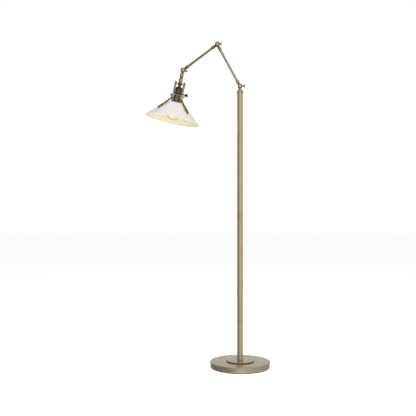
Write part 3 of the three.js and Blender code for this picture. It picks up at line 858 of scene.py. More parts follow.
@dataclass(frozen=True)
class DullFinish(Finish):
    """A finish with no gloss to speak of: felt, phenolic, rubber or rough iron."""

    tone: Rgb
    fleck: Rgb
    roughness: tuple[float, float]
    grain: float
    depth: float
    sheen: float = 0.0
    metal: float = 0.0

    def lay(self, paint: Paint) -> None:
        """Lays matted fibres or grains, with paler flecks among them."""
        fibres = paint.noise(paint.spot, self.grain, 6.0, 0.65)
        cloud = paint.noise(paint.spot, self.grain * 0.07, 3.0)
        share = paint.math(
            "ADD", paint.between(fibres, 0.42, 0.66, 0.0, 0.7),
            paint.between(cloud, 0.4, 0.7, 0.0, 0.3)
        )
        paint.wire("Base Color", paint.blend(share, linear(*self.tone), linear(*self.fleck)))
        paint.wire("Roughness", paint.between(fibres, 0.35, 0.65, *self.roughness))
        paint.relief(fibres, self.depth)
        paint.set(Metallic=self.metal, Sheen_Weight=self.sheen, Sheen_Roughness=0.4)


@dataclass(frozen=True)
class GlassFinish(Finish):
    """Thin blown glass, clear where seen square, tinted towards its outline as painted reflection.
    """

    tone: Rgb
    outline: Rgb
    roughness: float
    painted_glow: float = 0.0

    def lay(self, paint: Paint) -> None:
        """Lays the faint waves of blown glass."""
        waves = paint.noise(paint.ringed(2.0), 0.08, 2.0)
        haze = paint.noise(paint.spot, 0.12, 3.0)
        # Painted reflection: a tint towards the glass's outline as seen from the view.
        facing = paint.add("LayerWeight", {"Blend": 0.5}).outputs["Facing"]
        edge = paint.between(
            paint.math("ADD", facing, paint.math("MULTIPLY", haze, 0.2)), 0.5, 0.95
        )
        tinted = paint.blend(edge, linear(*self.tone), linear(*self.outline))
        paint.wire("Base Color", tinted)
        paint.wire(
            "Roughness", paint.between(haze, 0.4, 0.7, self.roughness, self.roughness + 0.04)
        )
        paint.relief(waves, 0.25, 0.5)
        paint.set(Transmission_Weight=1.0, IOR=1.46, Emission_Color=linear(255, 246, 224))
        # Painted glare: the glass glows faintly where it faces the view.
        paint.wire("Emission Strength", paint.between(edge, 0.0, 0.7, self.painted_glow, 0.0))


@dataclass(frozen=True)
class GlowFinish(Finish):
    """A wire that glows, hotter along its middle."""

    hot: Rgb
    warm: Rgb
    strength: float

    def lay(self, paint: Paint) -> None:
        """Lays bands of hotter and cooler wire."""
        bands = paint.noise(paint.spot, 0.3, 2.0)
        colour = paint.blend(
            paint.between(bands, 0.35, 0.65), linear(*self.hot), linear(*self.warm)
        )
        paint.wire("Base Color", colour)
        paint.wire("Emission Color", colour)
        paint.set(Emission_Strength=self.strength, Roughness=0.6)


SATIN_BRASS = MetalFinish(
    "satin_brass", (211, 193, 158), (168, 146, 106), (0.26, 0.40), 0.012, 0.45
)
# Also the painted shade on the side face of the base's raised disc.
DARK_BRASS = MetalFinish("aged_and_shade_brass", (158, 138, 98), (92, 74, 46), (0.26, 0.42), 0.02, 0.6, 0.25)
BRIGHT_BRASS = MetalFinish(
    "bright_brass", (214, 188, 112), (150, 124, 60), (0.16, 0.3), 0.008, 0.45
)
OLIVE_BRONZE = MetalFinish(
    "olive_bronze", (118, 101, 66), (66, 54, 34), (0.24, 0.42), 0.02, 0.6, 0.7
)
BASE_BRASS = MetalFinish("base_brass", (214, 200, 174), (178, 160, 128), (0.3, 0.42), 0.012, 0.4)
BUTTON_BRASS = MetalFinish(
    "button_brass", (234, 218, 184), (196, 176, 138), (0.2, 0.34), 0.008, 0.35
)
# Painted shade: a darker copy of the drawn brass for the upper arm's rod, the same tube as the
# lower arm's.
SHADED_ROD_BRASS = MetalFinish("shaded_rod_brass", (164, 146, 110), (116, 98, 66), (0.26, 0.40), 0.012, 0.5)
# Painted shade: darker brass for the knuckle drums, standing in for the shade and dark reflection
# on them; their edges also show wear.
SHADED_DRUM_BRASS = MetalFinish(
    "shaded_drum_brass", (160, 142, 106), (104, 86, 58), (0.28, 0.44), 0.02, 0.6, 0.25
)
STRUT_BRONZE = MetalFinish(
    "strut_bronze", (150, 132, 96), (98, 82, 56), (0.26, 0.44), 0.02, 0.5, 0.5
)
TAN_BRASS = MetalFinish("tan_brass", (190, 170, 130), (146, 124, 86), (0.26, 0.42), 0.015, 0.5)
DARK_BRONZE = MetalFinish("dark_bronze", (88, 80, 72), (56, 48, 42), (0.3, 0.5), 0.03, 0.6, 0.6)
RUSSET_BRONZE = MetalFinish(
    "russet_bronze", (142, 126, 108), (86, 74, 62), (0.3, 0.5), 0.03, 0.6, 0.5
)
BLACK_BRONZE = MetalFinish("black_bronze", (46, 42, 42), (28, 24, 24), (0.25, 0.45), 0.02, 0.5, 0.1)
PALE_BRASS = MetalFinish("pale_brass", (236, 220, 174), (186, 166, 116), (0.22, 0.36), 0.01, 0.4)
ZINC_STEEL = MetalFinish("zinc_steel", (196, 198, 200), (150, 148, 140), (0.28, 0.45), 0.02, 0.4)
CAST_IRON = DullFinish("cast_iron", (52, 53, 56), (78, 74, 70), (0.6, 0.85), 1.4, 0.35, metal=0.6)
GREEN_FELT = DullFinish("green_felt", (42, 52, 40), (70, 80, 62), (0.85, 1.0), 3.5, 0.5, sheen=0.6)
BLACK_PHENOLIC = DullFinish("black_phenolic", (24, 20, 18), (44, 36, 30), (0.35, 0.6), 1.2, 0.03)
WIRE_JACKET = DullFinish("wire_jacket", (30, 27, 25), (48, 44, 40), (0.45, 0.65), 2.0, 0.02)
WHITE_ENAMEL = EnamelFinish("white_enamel", (247, 243, 239), (236, 231, 226), 0.22)
# Painted light: the lining's warm cream stands in for bulb light on white enamel, and it glows
# faintly.
BULB_LIT_LINING = EnamelFinish("bulb_lit_lining", (236, 223, 196), (228, 212, 180), 0.3, 0.06)
# Painted reflection and glare: a warm tint towards the bulb glass's outline and a faint glow where
# it is seen square.
CLEAR_GLASS = GlassFinish("bulb_glass", (255, 247, 234), (214, 152, 96), 0.02, 0.03)
STEM_GLASS = GlassFinish("stem_glass", (240, 246, 240), (214, 222, 214), 0.05)
HOT_WIRE = GlowFinish("hot_filament", (255, 244, 214), (255, 214, 140), 7.0)


# ---- finishing a piece


@dataclass
class SubAssembly:
    """Pieces that share a body and a placement."""

    body: str
    place: Placement
    made: list[Object] = field(default_factory=list, kw_only=True)

    def fit(
        self,
        name: str,
        mesh: Mesh,
        slot: Slot,
        finishes: Material | Sequence[Material],
        replaces: Sequence[str] = (),
        body: str = "",
        place: Placement | None = None,
        sharp: float = 42,
    ) -> Object:
        """Places a mesh in the lamp, dresses it and hands it to its body.

        Args:
            name: Name of the piece, and of the node it replaces unless `replaces` says otherwise.
            mesh: Closed mesh in millimetres.
            slot: Material slot of the record; not used.
            finishes: One material, or one for each material index of the mesh.
            replaces: Nodes of the frame that the piece stands for.
            body: Body that it rides on, if it isn't the sub-assembly's own.
            place: Placement, if it isn't the sub-assembly's own.
            sharp: Angle in degrees past which an edge stays sharp.

        Returns:
            The piece.
        """
        mesh.transform((place or self.place).matrix())
        mesh.name = name
        coats = [finishes] if isinstance(finishes, Material) else list(finishes)
        indices = [0] * len(mesh.polygons)
        mesh.polygons.foreach_get("material_index", indices)
        mesh.materials.clear()
        for coat in coats:
            mesh.materials.append(coat)
        mesh.polygons.foreach_set(
            "material_index", [min(index, len(coats) - 1) for index in indices]
        )
        mesh.shade_smooth()
        mesh.set_sharp_from_angle(angle=math.radians(sharp))
        thing = bpy.data.objects.new(name, mesh)
        bpy.context.scene.collection.objects.link(thing)
        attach(thing, body or self.body)
        nodes = list(replaces) or ([name] if name in frame["nodes"] else [])
        if nodes:
            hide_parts(*nodes)
        self.made.append(thing)
        LOG.info("%-22s %7d faces on %s", name, len(mesh.polygons), body or self.body)
        return thing

    def dress(self, name: str, slot: Slot, finish: Material) -> None:
        """Gives a node of the frame that stays as it is its material."""
        node = frame["nodes"][name]
        node.data.materials.clear()
        node.data.materials.append(finish)
        LOG.info("%-22s keeps its own shape", name)


# ---- base, pole and cap


@dataclass
class Stand(SubAssembly):
    """Weighted base, pole, and the cap that the turret turns in."""

    rim: float = 140.0
    wall: float = 137.0
    top: float = 27.5
    lip: float = 5.5
    sheet: float = 1.5
    boss: float = 64.5
    boss_height: float = 5.0
    stud_hole: float = 6.6
    felt: float = 136.0
    felt_height: float = 2.0
    cord_height: float = 10.0
    cord_barrel: float = 4.7
    cord_flange: float = 7.0
    cord_bore: float = 3.0
    pole: float = 13.25
    pole_wall: float = 1.2
    pole_top: float = 1271.0
    cap_flange: float = 16.0
    cap_top: float = 1285.5
    spigot_bottom: float = 1246.0
    cap_bore: float = 5.8

    def felt_pad(self) -> Mesh:
        """Returns the felt disc with a soft, slightly ragged edge."""
        edge = [
            (self.felt - 0.5, 0.0), (self.felt, 0.6), (self.felt - 0.1, 1.5),
            (self.felt - 0.6, self.felt_height)
        ]
        rows = [(self.felt * share, 0.0) for share in (0.25, 0.6, 0.9)]
        tops = [(self.felt * share, self.felt_height) for share in (0.9, 0.6, 0.25)]
        return turned([(0, 0), *rows, *edge, *tops, (0, self.felt_height)], 192)

    def shell(self) -> Mesh:
        """Returns the spun cover with its rolled lip and the hole for the cord."""
        rim, wall, top, sheet, lip = self.rim, self.wall, self.top, self.sheet, self.lip
        floor = self.felt_height + GAP
        outline = [
            (wall - sheet, floor), (wall, floor), (wall, floor + 1.6), (wall - 0.5, floor + 2.1),
            (wall, floor + 2.6), (wall, top - lip), (rim - 0.6, top - lip + 0.7),
            (rim, top - lip + 1.5), (rim, top - 2.2), (rim - 0.9, top - 0.7), (rim - 2.6, top),
            (rim - 6.0, top), (rim - 6.4, top - 0.25), (rim - 6.8, top), (self.boss + 3.0, top),
            (self.boss - 4.0, top), (self.stud_hole, top), (self.stud_hole, top - sheet),
            (wall - sheet, top - sheet),
        ]
        hole = across(bar(self.cord_barrel + GAP, wall - 8, wall + 8))
        return fitted(
            turned(rounded(outline, 0.8), 224), cut=[moved(hole, shift(0, 0, self.cord_height))]
        )

    def raised_disc(self) -> Mesh:
        """Returns the disc that the pole stands on."""
        floor = self.top + GAP
        high = floor + self.boss_height
        edge = self.boss
        outline = [
            (self.stud_hole, floor), (edge - 0.8, floor), (edge, floor + 0.8), (edge, high - 1.3),
            (edge - 1.3, high), (edge - 4.0, high), (self.pole + 3.2, high),
            (self.pole + 2.4, high - 0.3), (self.pole + 1.6, high), (self.stud_hole, high),
        ]
        disc = turned(rounded(outline, 0.7, 4), 192)
        # Painted shade: the side face takes the second, darker brass, standing in for the shade and
        # dark reflection along the disc's front wall.
        return striped(
            disc, lambda spot: spot.z < high - 1.2 and math.hypot(spot.x, spot.y) > edge - 0.9
        )

    def bushing(self) -> Mesh:
        """Returns the grommet in the rear wall, with a soft mouth."""
        inside = self.wall - self.sheet - 0.6
        outside = self.wall + GAP
        outline = [
            (self.cord_bore, inside - 2.4), (self.cord_flange, inside - 2.4),
            (self.cord_flange, inside), (self.cord_barrel, inside), (self.cord_barrel, outside),
            (self.cord_flange, outside), (self.cord_flange, outside + 1.2),
            (self.cord_flange - 1.2, outside + 2.3), (self.cord_bore + 0.8, outside + 2.4),
            (self.cord_bore, outside + 1.6),
        ]
        return moved(across(turned(rounded(outline, 0.4), 64)), shift(0, 0, self.cord_height))

    def tube(self) -> Mesh:
        """Returns the drawn pole, with eased ends."""
        foot = self.top + self.boss_height + 2 * GAP
        bore = self.pole - self.pole_wall
        levels = 24
        step = (self.pole_top - foot - 3) / levels
        outside = [(self.pole, foot + 1.5 + step * k) for k in range(levels + 1)]
        outline = [
            (bore, foot), (self.pole - 0.3, foot), (self.pole, foot + 0.4), *outside,
            (self.pole, self.pole_top - 0.4), (self.pole - 0.3, self.pole_top),
            (bore, self.pole_top),
        ]
        return turned(outline, 96)

    def cap(self) -> Mesh:
        """Returns the flared cap with its spigot inside the pole."""
        spigot = self.pole - self.pole_wall - GAP
        seat = self.pole_top + GAP
        flange = self.cap_flange
        top = self.cap_top
        flare = smooth_line(
            [(self.pole + 0.1, seat + 0.5), (self.pole + 0.4, seat + 3.2),
             (self.pole + 1.2, seat + 6.2),
             (flange - 0.5, seat + 8.4)], 6,
        )
        dome = smooth_line(
            [
                (flange - 0.5, top - 3.0), (flange - 2.4, top - 2.2), (flange - 4.6, top - 1.2),
                (9.6, top - 0.1)
            ],
            6,
        )
        rim = [(flange, seat + 9.1), (flange, top - 3.7)]
        outline = [
            (self.cap_bore, self.spigot_bottom), (spigot - 0.6, self.spigot_bottom),
            (spigot, self.spigot_bottom + 0.6), (spigot, seat), (self.pole - 0.4, seat), *flare,
            *rim, *dome, (self.cap_bore, top),
        ]
        return turned(outline, 96)

    def build(self) -> None:
        """Makes and dresses the stand."""
        spun = SATIN_BRASS.dressed(Grain.SPUN, self.place)
        plate = BASE_BRASS.dressed(Grain.SPUN, self.place)
        drawn = SATIN_BRASS.dressed(Grain.DRAWN, self.place)
        steel = ZINC_STEEL.dressed(Grain.SPUN, self.place)
        self.fit("felt_pad", self.felt_pad(), Slot.FELT, GREEN_FELT.dressed(self.place))
        self.fit("base_shell", self.shell(), Slot.BRASS, plate)
        # The raised disc's side face takes the darker brass as painted shade.
        self.fit(
            "base_boss", self.raised_disc(), Slot.BRASS,
            [plate, DARK_BRASS.dressed(Grain.SPUN, self.place)]
        )
        self.fit("cord_bushing", self.bushing(), Slot.PHENOLIC, BLACK_PHENOLIC.dressed(self.place))
        self.fit("pole_tube", self.tube(), Slot.BRASS, drawn)
        self.fit("pole_cap", self.cap(), Slot.BRASS, spun)
        self.dress("base_weight", Slot.IRON, CAST_IRON.dressed(self.place))
        for name in ("foot_nut", "foot_washer", "foot_stud", "pole_plug"):
            self.dress(name, Slot.STEEL, steel)
        self.dress("pole_wire", Slot.WIRE, WIRE_JACKET.dressed(self.place))


# ---- knuckles


@dataclass(frozen=True)
class Knuckle:
    """A friction joint: a fork of two cheeks and a web, a tongue, a pin and a wing screw."""

    radius: float
    width: float
    web: float = 3.0
    slot: float = 7.4
    tongue_width: float = 6.6
    neck: float = 9.0
    throat: float = 5.0
    swing_room: float = math.radians(39)
    pin: float = 3.0
    head: float = 6.3
    head_height: float = 2.9
    nut: float = 6.0
    nut_height: float = 3.4
    shaft: float = 2.4
    collar: float = 4.0
    reach: float = 13.5
    blade: float = 7.0
    blade_width: float = 2.6

    def pocket(self, opening: tuple[float, float]) -> Mesh:
        """Returns the space that the tongue sweeps.

        Args:
            opening: Bearings in radians between which it is open at the rim.
        """
        inner = self.radius - self.web + GAP + 0.2
        outer = self.radius + 3.4
        start, end = math.pi / 2 - opening[1], math.pi / 2 - opening[0]
        steps = 48
        wide = [start + (end - start) * k / steps for k in range(steps + 1)]
        rest = 2 * math.pi - (end - start)
        narrow = [end + rest * k / steps for k in range(1, steps)]
        outline = [(outer * math.cos(a), outer * math.sin(a)) for a in wide]
        outline += [(inner * math.cos(end), inner * math.sin(end))]
        outline += [(inner * math.cos(a), inner * math.sin(a)) for a in narrow]
        outline += [(inner * math.cos(start), inner * math.sin(start))]
        return prism(outline, -self.slot / 2, self.slot / 2)

    def fork(
        self,
        stem: Mesh,
        opening: tuple[float, float],
        screw: float,
        bores: Sequence[Mesh] = (),
    ) -> Mesh:
        """Returns the fork.

        Args:
            stem: What carries it, already in place.
            opening: Bearings in radians between which the slot is open.
            screw: Bearing in radians of the wing screw's hole.
            bores: Holes in the stem.
        """
        half = self.width / 2
        drum = [
            (0, -half), (self.head + 0.9, -half), (self.head + 1.3, -half + 0.35),
            (self.head + 1.7, -half), (self.radius - 1.3, -half), (self.radius - 0.3, -half + 0.6),
            (self.radius, -half + 1.5), (self.radius, half - 1.5), (self.radius - 0.3, half - 0.6),
            (self.radius - 1.3, half), (0, half),
        ]
        hole = moved(bar(self.shaft + GAP, 0, self.radius + 6), turn(screw, "Y"))
        pin_hole = across(bar(self.pin + GAP, -self.width, self.width))
        whole = cast(
            fitted(across(turned(drum, 96)), [stem], [self.pocket(opening), pin_hole, hole, *bores])
        )
        # The drum keeps the first material, a darker brass as painted shade; the stem below it
        # takes the second.
        return striped(whole, lambda spot: spot.z < -self.radius - 0.4)

    def tongue(self, radius: float, end: float, bore: Mesh) -> Mesh:
        """Returns the tongue with the ferrule that it carries along +Z.

        Args:
            radius: Radius of the ferrule.
            end: Where the ferrule ends.
            bore: The hole in the ferrule.
        """
        disc = self.radius - self.web
        start = self.radius + 1.6
        half = self.tongue_width / 2
        drum = across(bar(disc, -half, half, 72))
        tab = prism(
            oblong(self.neck / 2, 0, start + 2),
            -half, half,
        )
        ferrule = turned(ferrule_outline(start, start, end, radius, self.throat), 72)
        pin_hole = across(bar(self.pin + GAP, -self.tongue_width, self.tongue_width))
        return cast(fitted(drum, [tab, ferrule], [pin_hole, bore]))

    def bolt(self) -> Mesh:
        """Returns the pivot pin, with its domed head towards -Y."""
        face = self.width / 2 + GAP
        dome = smooth_line(
            [(0.0, -face - self.head_height), (self.head * 0.42, -face - self.head_height * 0.93),
             (self.head * 0.78, -face - self.head_height * 0.66),
             (self.head * 0.97, -face - self.head_height * 0.3),
             (self.head, -face - 0.35)], 6,
        )
        end = face + self.nut_height * 0.5
        outline = [
            *dome, (self.head, -face), (self.pin, -face), (self.pin, end - 0.5),
            (self.pin - 0.5, end), (0, end)
        ]
        return across(turned(outline, 72))

    def cap_nut(self) -> Mesh:
        """Returns the round nut on the other end of the pin, with a slot for its key."""
        face = self.width / 2 + GAP
        inside = face + self.nut_height * 0.5 + GAP
        outline = [
            (0, inside), (self.pin + GAP, inside), (self.pin + GAP, face), (self.nut, face),
            (self.nut, face + self.nut_height * 0.55),
            (self.nut * 0.86, face + self.nut_height * 0.86),
            (self.nut * 0.55, face + self.nut_height), (0, face + self.nut_height),
        ]
        top = face + self.nut_height
        slot = prism(
            oblong(self.nut, -0.6, 0.6), top - 0.9,
            top + 1
        )
        return fitted(across(turned(rounded(outline, 0.35), 72)), cut=[slot])

    def wing_screw(self, bearing: float, roll: float) -> Mesh:
        """Returns the wing screw, pointing outwards.

        Args:
            bearing: Where it points, in radians from +Z towards +X.
            roll: Turn of its wings about its own axis in radians.
        """
        tip = self.radius - self.web + 0.6
        face = self.radius + 0.5
        root = face + 2.2
        end = self.radius + self.reach
        stem = turned(
            [(0, tip), (self.shaft - 0.4, tip), (self.shaft, tip + 0.5), (self.shaft, face),
             (self.collar - 0.3, face), (self.collar, face + 0.5), (self.collar - 0.2, root - 0.4),
             (self.shaft + 0.5, root + 0.6),
             (self.shaft - 0.1, root + 2.5), (0, root + 4)], 48,
        )
        widest = end - 4.5
        half = [(2.1, root - 0.6), (2.5, root + 0.4 * (widest - root)),
                (self.blade - 1.6, widest - 1.4), (self.blade, widest + 1.6),
                (self.blade - 0.9, end - 0.5), (self.blade - 2.6, end - 0.2),
                (self.blade - 4.6, end - 2.0), (0.0, end - 4.2)]
        side = smooth_line(half, 4)
        wings = prism(
            mirrored(side), -self.blade_width / 2,
            self.blade_width / 2
        )
        screw = cast(fitted(stem, [wings]), 0.24, 6, 0.4)
        return moved(screw, turn(roll, "Z"), turn(bearing, "Y"))


def ferrule_outline(
    start: float, shoulder: float, end: float, radius: float, throat: float
) -> list[Point]:
    """Draws a ferrule along +Z: a throat, a shoulder, and a sleeve with two turned grooves.

    Args:
        start: Where the throat starts.
        shoulder: Where the sleeve starts to swell.
        end: Where the sleeve ends.
        radius: Radius of the sleeve.
        throat: Radius of the throat.

    Returns:
        The outline, from axis to axis.
    """
    line: list[Point] = [(0, start), (throat, start), (throat, shoulder)]
    line += [(throat + 0.9, shoulder + 0.9), (radius, shoulder + 2.5)]
    for groove in (end - 6.2, end - 3.9):
        line += [(radius, groove - 0.5), (radius - 0.6, groove), (radius, groove + 0.5)]
    return line + [(radius, end - 0.9), (radius - 0.9, end), (0, end)]


SHOULDER_KNUCKLE = Knuckle(10.5, 18.0)
ELBOW_KNUCKLE = Knuckle(11.0, 20.0, reach=10.5)
WRIST_KNUCKLE = Knuckle(11.0, 20.0, reach=11.0)


def opening(knuckle: Knuckle, rest: float, hinge: str) -> tuple[float, float]:
    """Returns the bearings between which a fork has to be open.

    Args:
        knuckle: The knuckle.
        rest: Bearing of the tongue at rest, seen from the fork's own frame.
        hinge: Name of the joint.
    """
    low, high = swing(hinge)
    return rest + low - knuckle.swing_room, rest + high + knuckle.swing_room


def screw_axis(hinge: str) -> Vector:
    """Returns where a wing screw points."""
    return Vector(joint(hinge)["axis"])


@dataclass
class KnuckleSet(SubAssembly):
    """The fasteners of one knuckle, which ride on the fork's body and on the screw's own."""

    name: str
    knuckle: Knuckle
    roll: float

    def build(self) -> None:
        """Makes the pin, its nut and the wing screw."""
        sideways = Placement(self.place.origin, Vector((0, 1, 0)), Vector((0, 0, 1)))
        turned_brass = BUTTON_BRASS.dressed(Grain.SPUN, sideways)
        aged = DARK_BRASS.dressed(Grain.SPUN, sideways)
        self.fit(f"{self.name}_pin", self.knuckle.bolt(), Slot.BRASS, turned_brass)
        self.fit(f"{self.name}_pin_nut", self.knuckle.cap_nut(), Slot.BRASS, aged)
        axis = screw_axis(f"{self.name}_screw_turn")
        screw = self.knuckle.wing_screw(lean(axis, self.place), self.roll)
        along = Placement(self.place.origin, axis)
        finish = OLIVE_BRONZE.dressed(Grain.CAST, along)
        self.fit(
            f"{self.name}_wing_screw", screw, Slot.OLIVE_BRONZE, finish, body=f"{self.name}_screw"
        )


@dataclass
class Turret(SubAssembly):
    """The neck that turns in the pole's cap and carries the shoulder."""

    floor: float = -19.1
    stud_bottom: float = -69.0
    stud: float = 5.4
    stud_bore: float = 3.4
    skirt: float = 9.3

    def neck(self) -> Mesh:
        """Returns the shoulder fork on its flared neck."""
        flare = smooth_line(
            [(self.skirt, self.floor + 1.0), (self.skirt - 0.2, self.floor + 2.6),
             (self.skirt - 0.9, self.floor + 4.6),
             (7.9, self.floor + 7.0), (7.9, self.floor + 10.0)], 5,
        )
        stem = turned(
            [(0, self.stud_bottom), (self.stud, self.stud_bottom), (self.stud, self.floor),
             (self.skirt - 0.5, self.floor),
             *flare, (7.9, -5), (0, -5)], 72,
        )
        bore = bar(self.stud_bore, self.stud_bottom - 1, self.floor + 2)
        screw = lean(screw_axis("shoulder_screw_turn"), self.place)
        rest = lean(ELBOW - SHOULDER, self.place)
        return SHOULDER_KNUCKLE.fork(
            stem, opening(SHOULDER_KNUCKLE, rest, "shoulder_tilt"), screw, [bore]
        )

    def build(self) -> None:
        """Makes the neck; the lock nut inside the cap keeps its shape."""
        # The drum takes the darker brass as painted shade; the stem takes the bright turned brass.
        coats = [
            SHADED_DRUM_BRASS.dressed(Grain.CAST, self.place), BUTTON_BRASS.dressed(Grain.SPUN, self.place)
        ]
        self.fit("turret_neck", self.neck(), Slot.BRASS, coats)
        self.dress("turret_lock_nut", Slot.STEEL, ZINC_STEEL.dressed(Grain.SPUN, self.place))


@dataclass
class Arm(SubAssembly):
    """A tongue with its ferrule, a hollow rod, and the fork of the next knuckle."""

    near: Knuckle
    far: Knuckle
    hinge: str
    screw: str
    reach: Vector
    names: tuple[str, str, str]
    tube_finish: MetalFinish
    ferrule_finish: MetalFinish
    rod: float = 5.2
    bore: float = 3.7
    ferrule: float = 7.2
    socket: float = 20.0
    ferrule_end: float = 31.0

    def length(self) -> float:
        """Returns the distance between the arm's two pivots in millimetres."""
        return (self.far_point() - self.place.origin).length / MM

    def far_point(self) -> Vector:
        """Returns the pivot at the far end."""
        return pivot_point(self.hinge)

    def fork_mesh(self) -> Mesh:
        """Returns the fork in its own frame, whose stem points back along the arm."""
        outline = ferrule_outline(
            5, self.far.radius + 2, self.ferrule_end, self.ferrule, self.far.throat
        )
        stem = moved(turned(outline, 72), turn(math.pi, "X"))
        hole = bar(self.rod + GAP, -self.ferrule_end - 2, GAP - self.socket)
        rest = lean(self.reach, self.place)
        screw = lean(screw_axis(self.screw), self.place)
        return self.far.fork(stem, opening(self.far, rest, self.hinge), screw, [hole])

    def rod_mesh(self) -> Mesh:
        """Returns the hollow rod."""
        start, end = self.socket, self.length() - self.socket
        levels = 8
        side = [
            (self.rod, start + 0.8 + (end - start - 1.6) * k / levels) for k in range(levels + 1)
        ]
        outline = [
            (self.bore, start), (self.rod - 0.4, start), *side, (self.rod - 0.4, end),
            (self.bore, end)
        ]
        return turned(outline, 72)

    def build(self) -> None:
        """Makes the arm's three pieces."""
        tongue, rod, fork = self.names
        hole = bar(self.rod + GAP, self.socket - GAP, self.ferrule_end + 2)
        spun = self.ferrule_finish.dressed(Grain.SPUN, self.place)
        self.fit(tongue, self.near.tongue(self.ferrule, self.ferrule_end, hole), Slot.BRASS, spun)
        self.fit(
            rod, self.rod_mesh(), Slot.BRASS, self.tube_finish.dressed(Grain.DRAWN, self.place)
        )
        there = self.place.shifted(self.length())
        # The fork's drum takes the darker brass as painted shade; its stem takes the ferrule's
        # finish.
        coats = [SHADED_DRUM_BRASS.dressed(Grain.CAST, there), spun]
        self.fit(fork, self.fork_mesh(), Slot.BRASS, coats, place=there)


# ---- head: swivel, yoke and socket


@dataclass
class HeadMount(SubAssembly):
    """The tongue below the wrist and the swivel that the head turns on."""

    sleeve: float = 8.5
    sleeve_end: float = 34.0
    stud_top: float = 22.0
    stud: float = 4.0
    ring: float = 7.6
    ring_end: float = 39.7

    def build(self) -> None:
        """Makes the sleeve and the knurled ring; the nipple inside keeps its shape."""
        hole = bar(self.stud + GAP, self.stud_top - GAP, self.sleeve_end + 2)
        sleeve = WRIST_KNUCKLE.tongue(self.sleeve, self.sleeve_end, hole)
        self.fit("head_tongue", sleeve, Slot.BRASS, TAN_BRASS.dressed(Grain.SPUN, self.place))
        start = self.sleeve_end + GAP
        ring = self.ring - 0.35
        outline = [
            (self.stud + GAP, start), (ring, start), (ring, self.ring_end),
            (self.stud + GAP, self.ring_end)
        ]
        band = knurl_recipe().grow(
            turned(rounded(outline, 0.4), 72), Radius=ring, Start=start + 1.0,
            Length=self.ring_end - start - 2.0, Ridge=0.34, Count=40,
        )
        self.fit(
            "swivel_ring", band, Slot.OLIVE_BRONZE, OLIVE_BRONZE.dressed(Grain.SPUN, self.place)
        )
        self.dress("swivel_nipple", Slot.STEEL, ZINC_STEEL.dressed(Grain.SPUN, self.place))


@dataclass
class HeadPart(SubAssembly):
    """A sub-assembly of the head, with the sizes that its posts, ring and struts share."""

    spread: float = 20.5
    post: float = 4.5
    hinge: float = 32.0
    hinge_depth: float = 139.0
    eye: float = 3.2
    ear: float = 10.0
    azimuths: tuple[float, ...] = (-45.0, 90.0, 225.0)


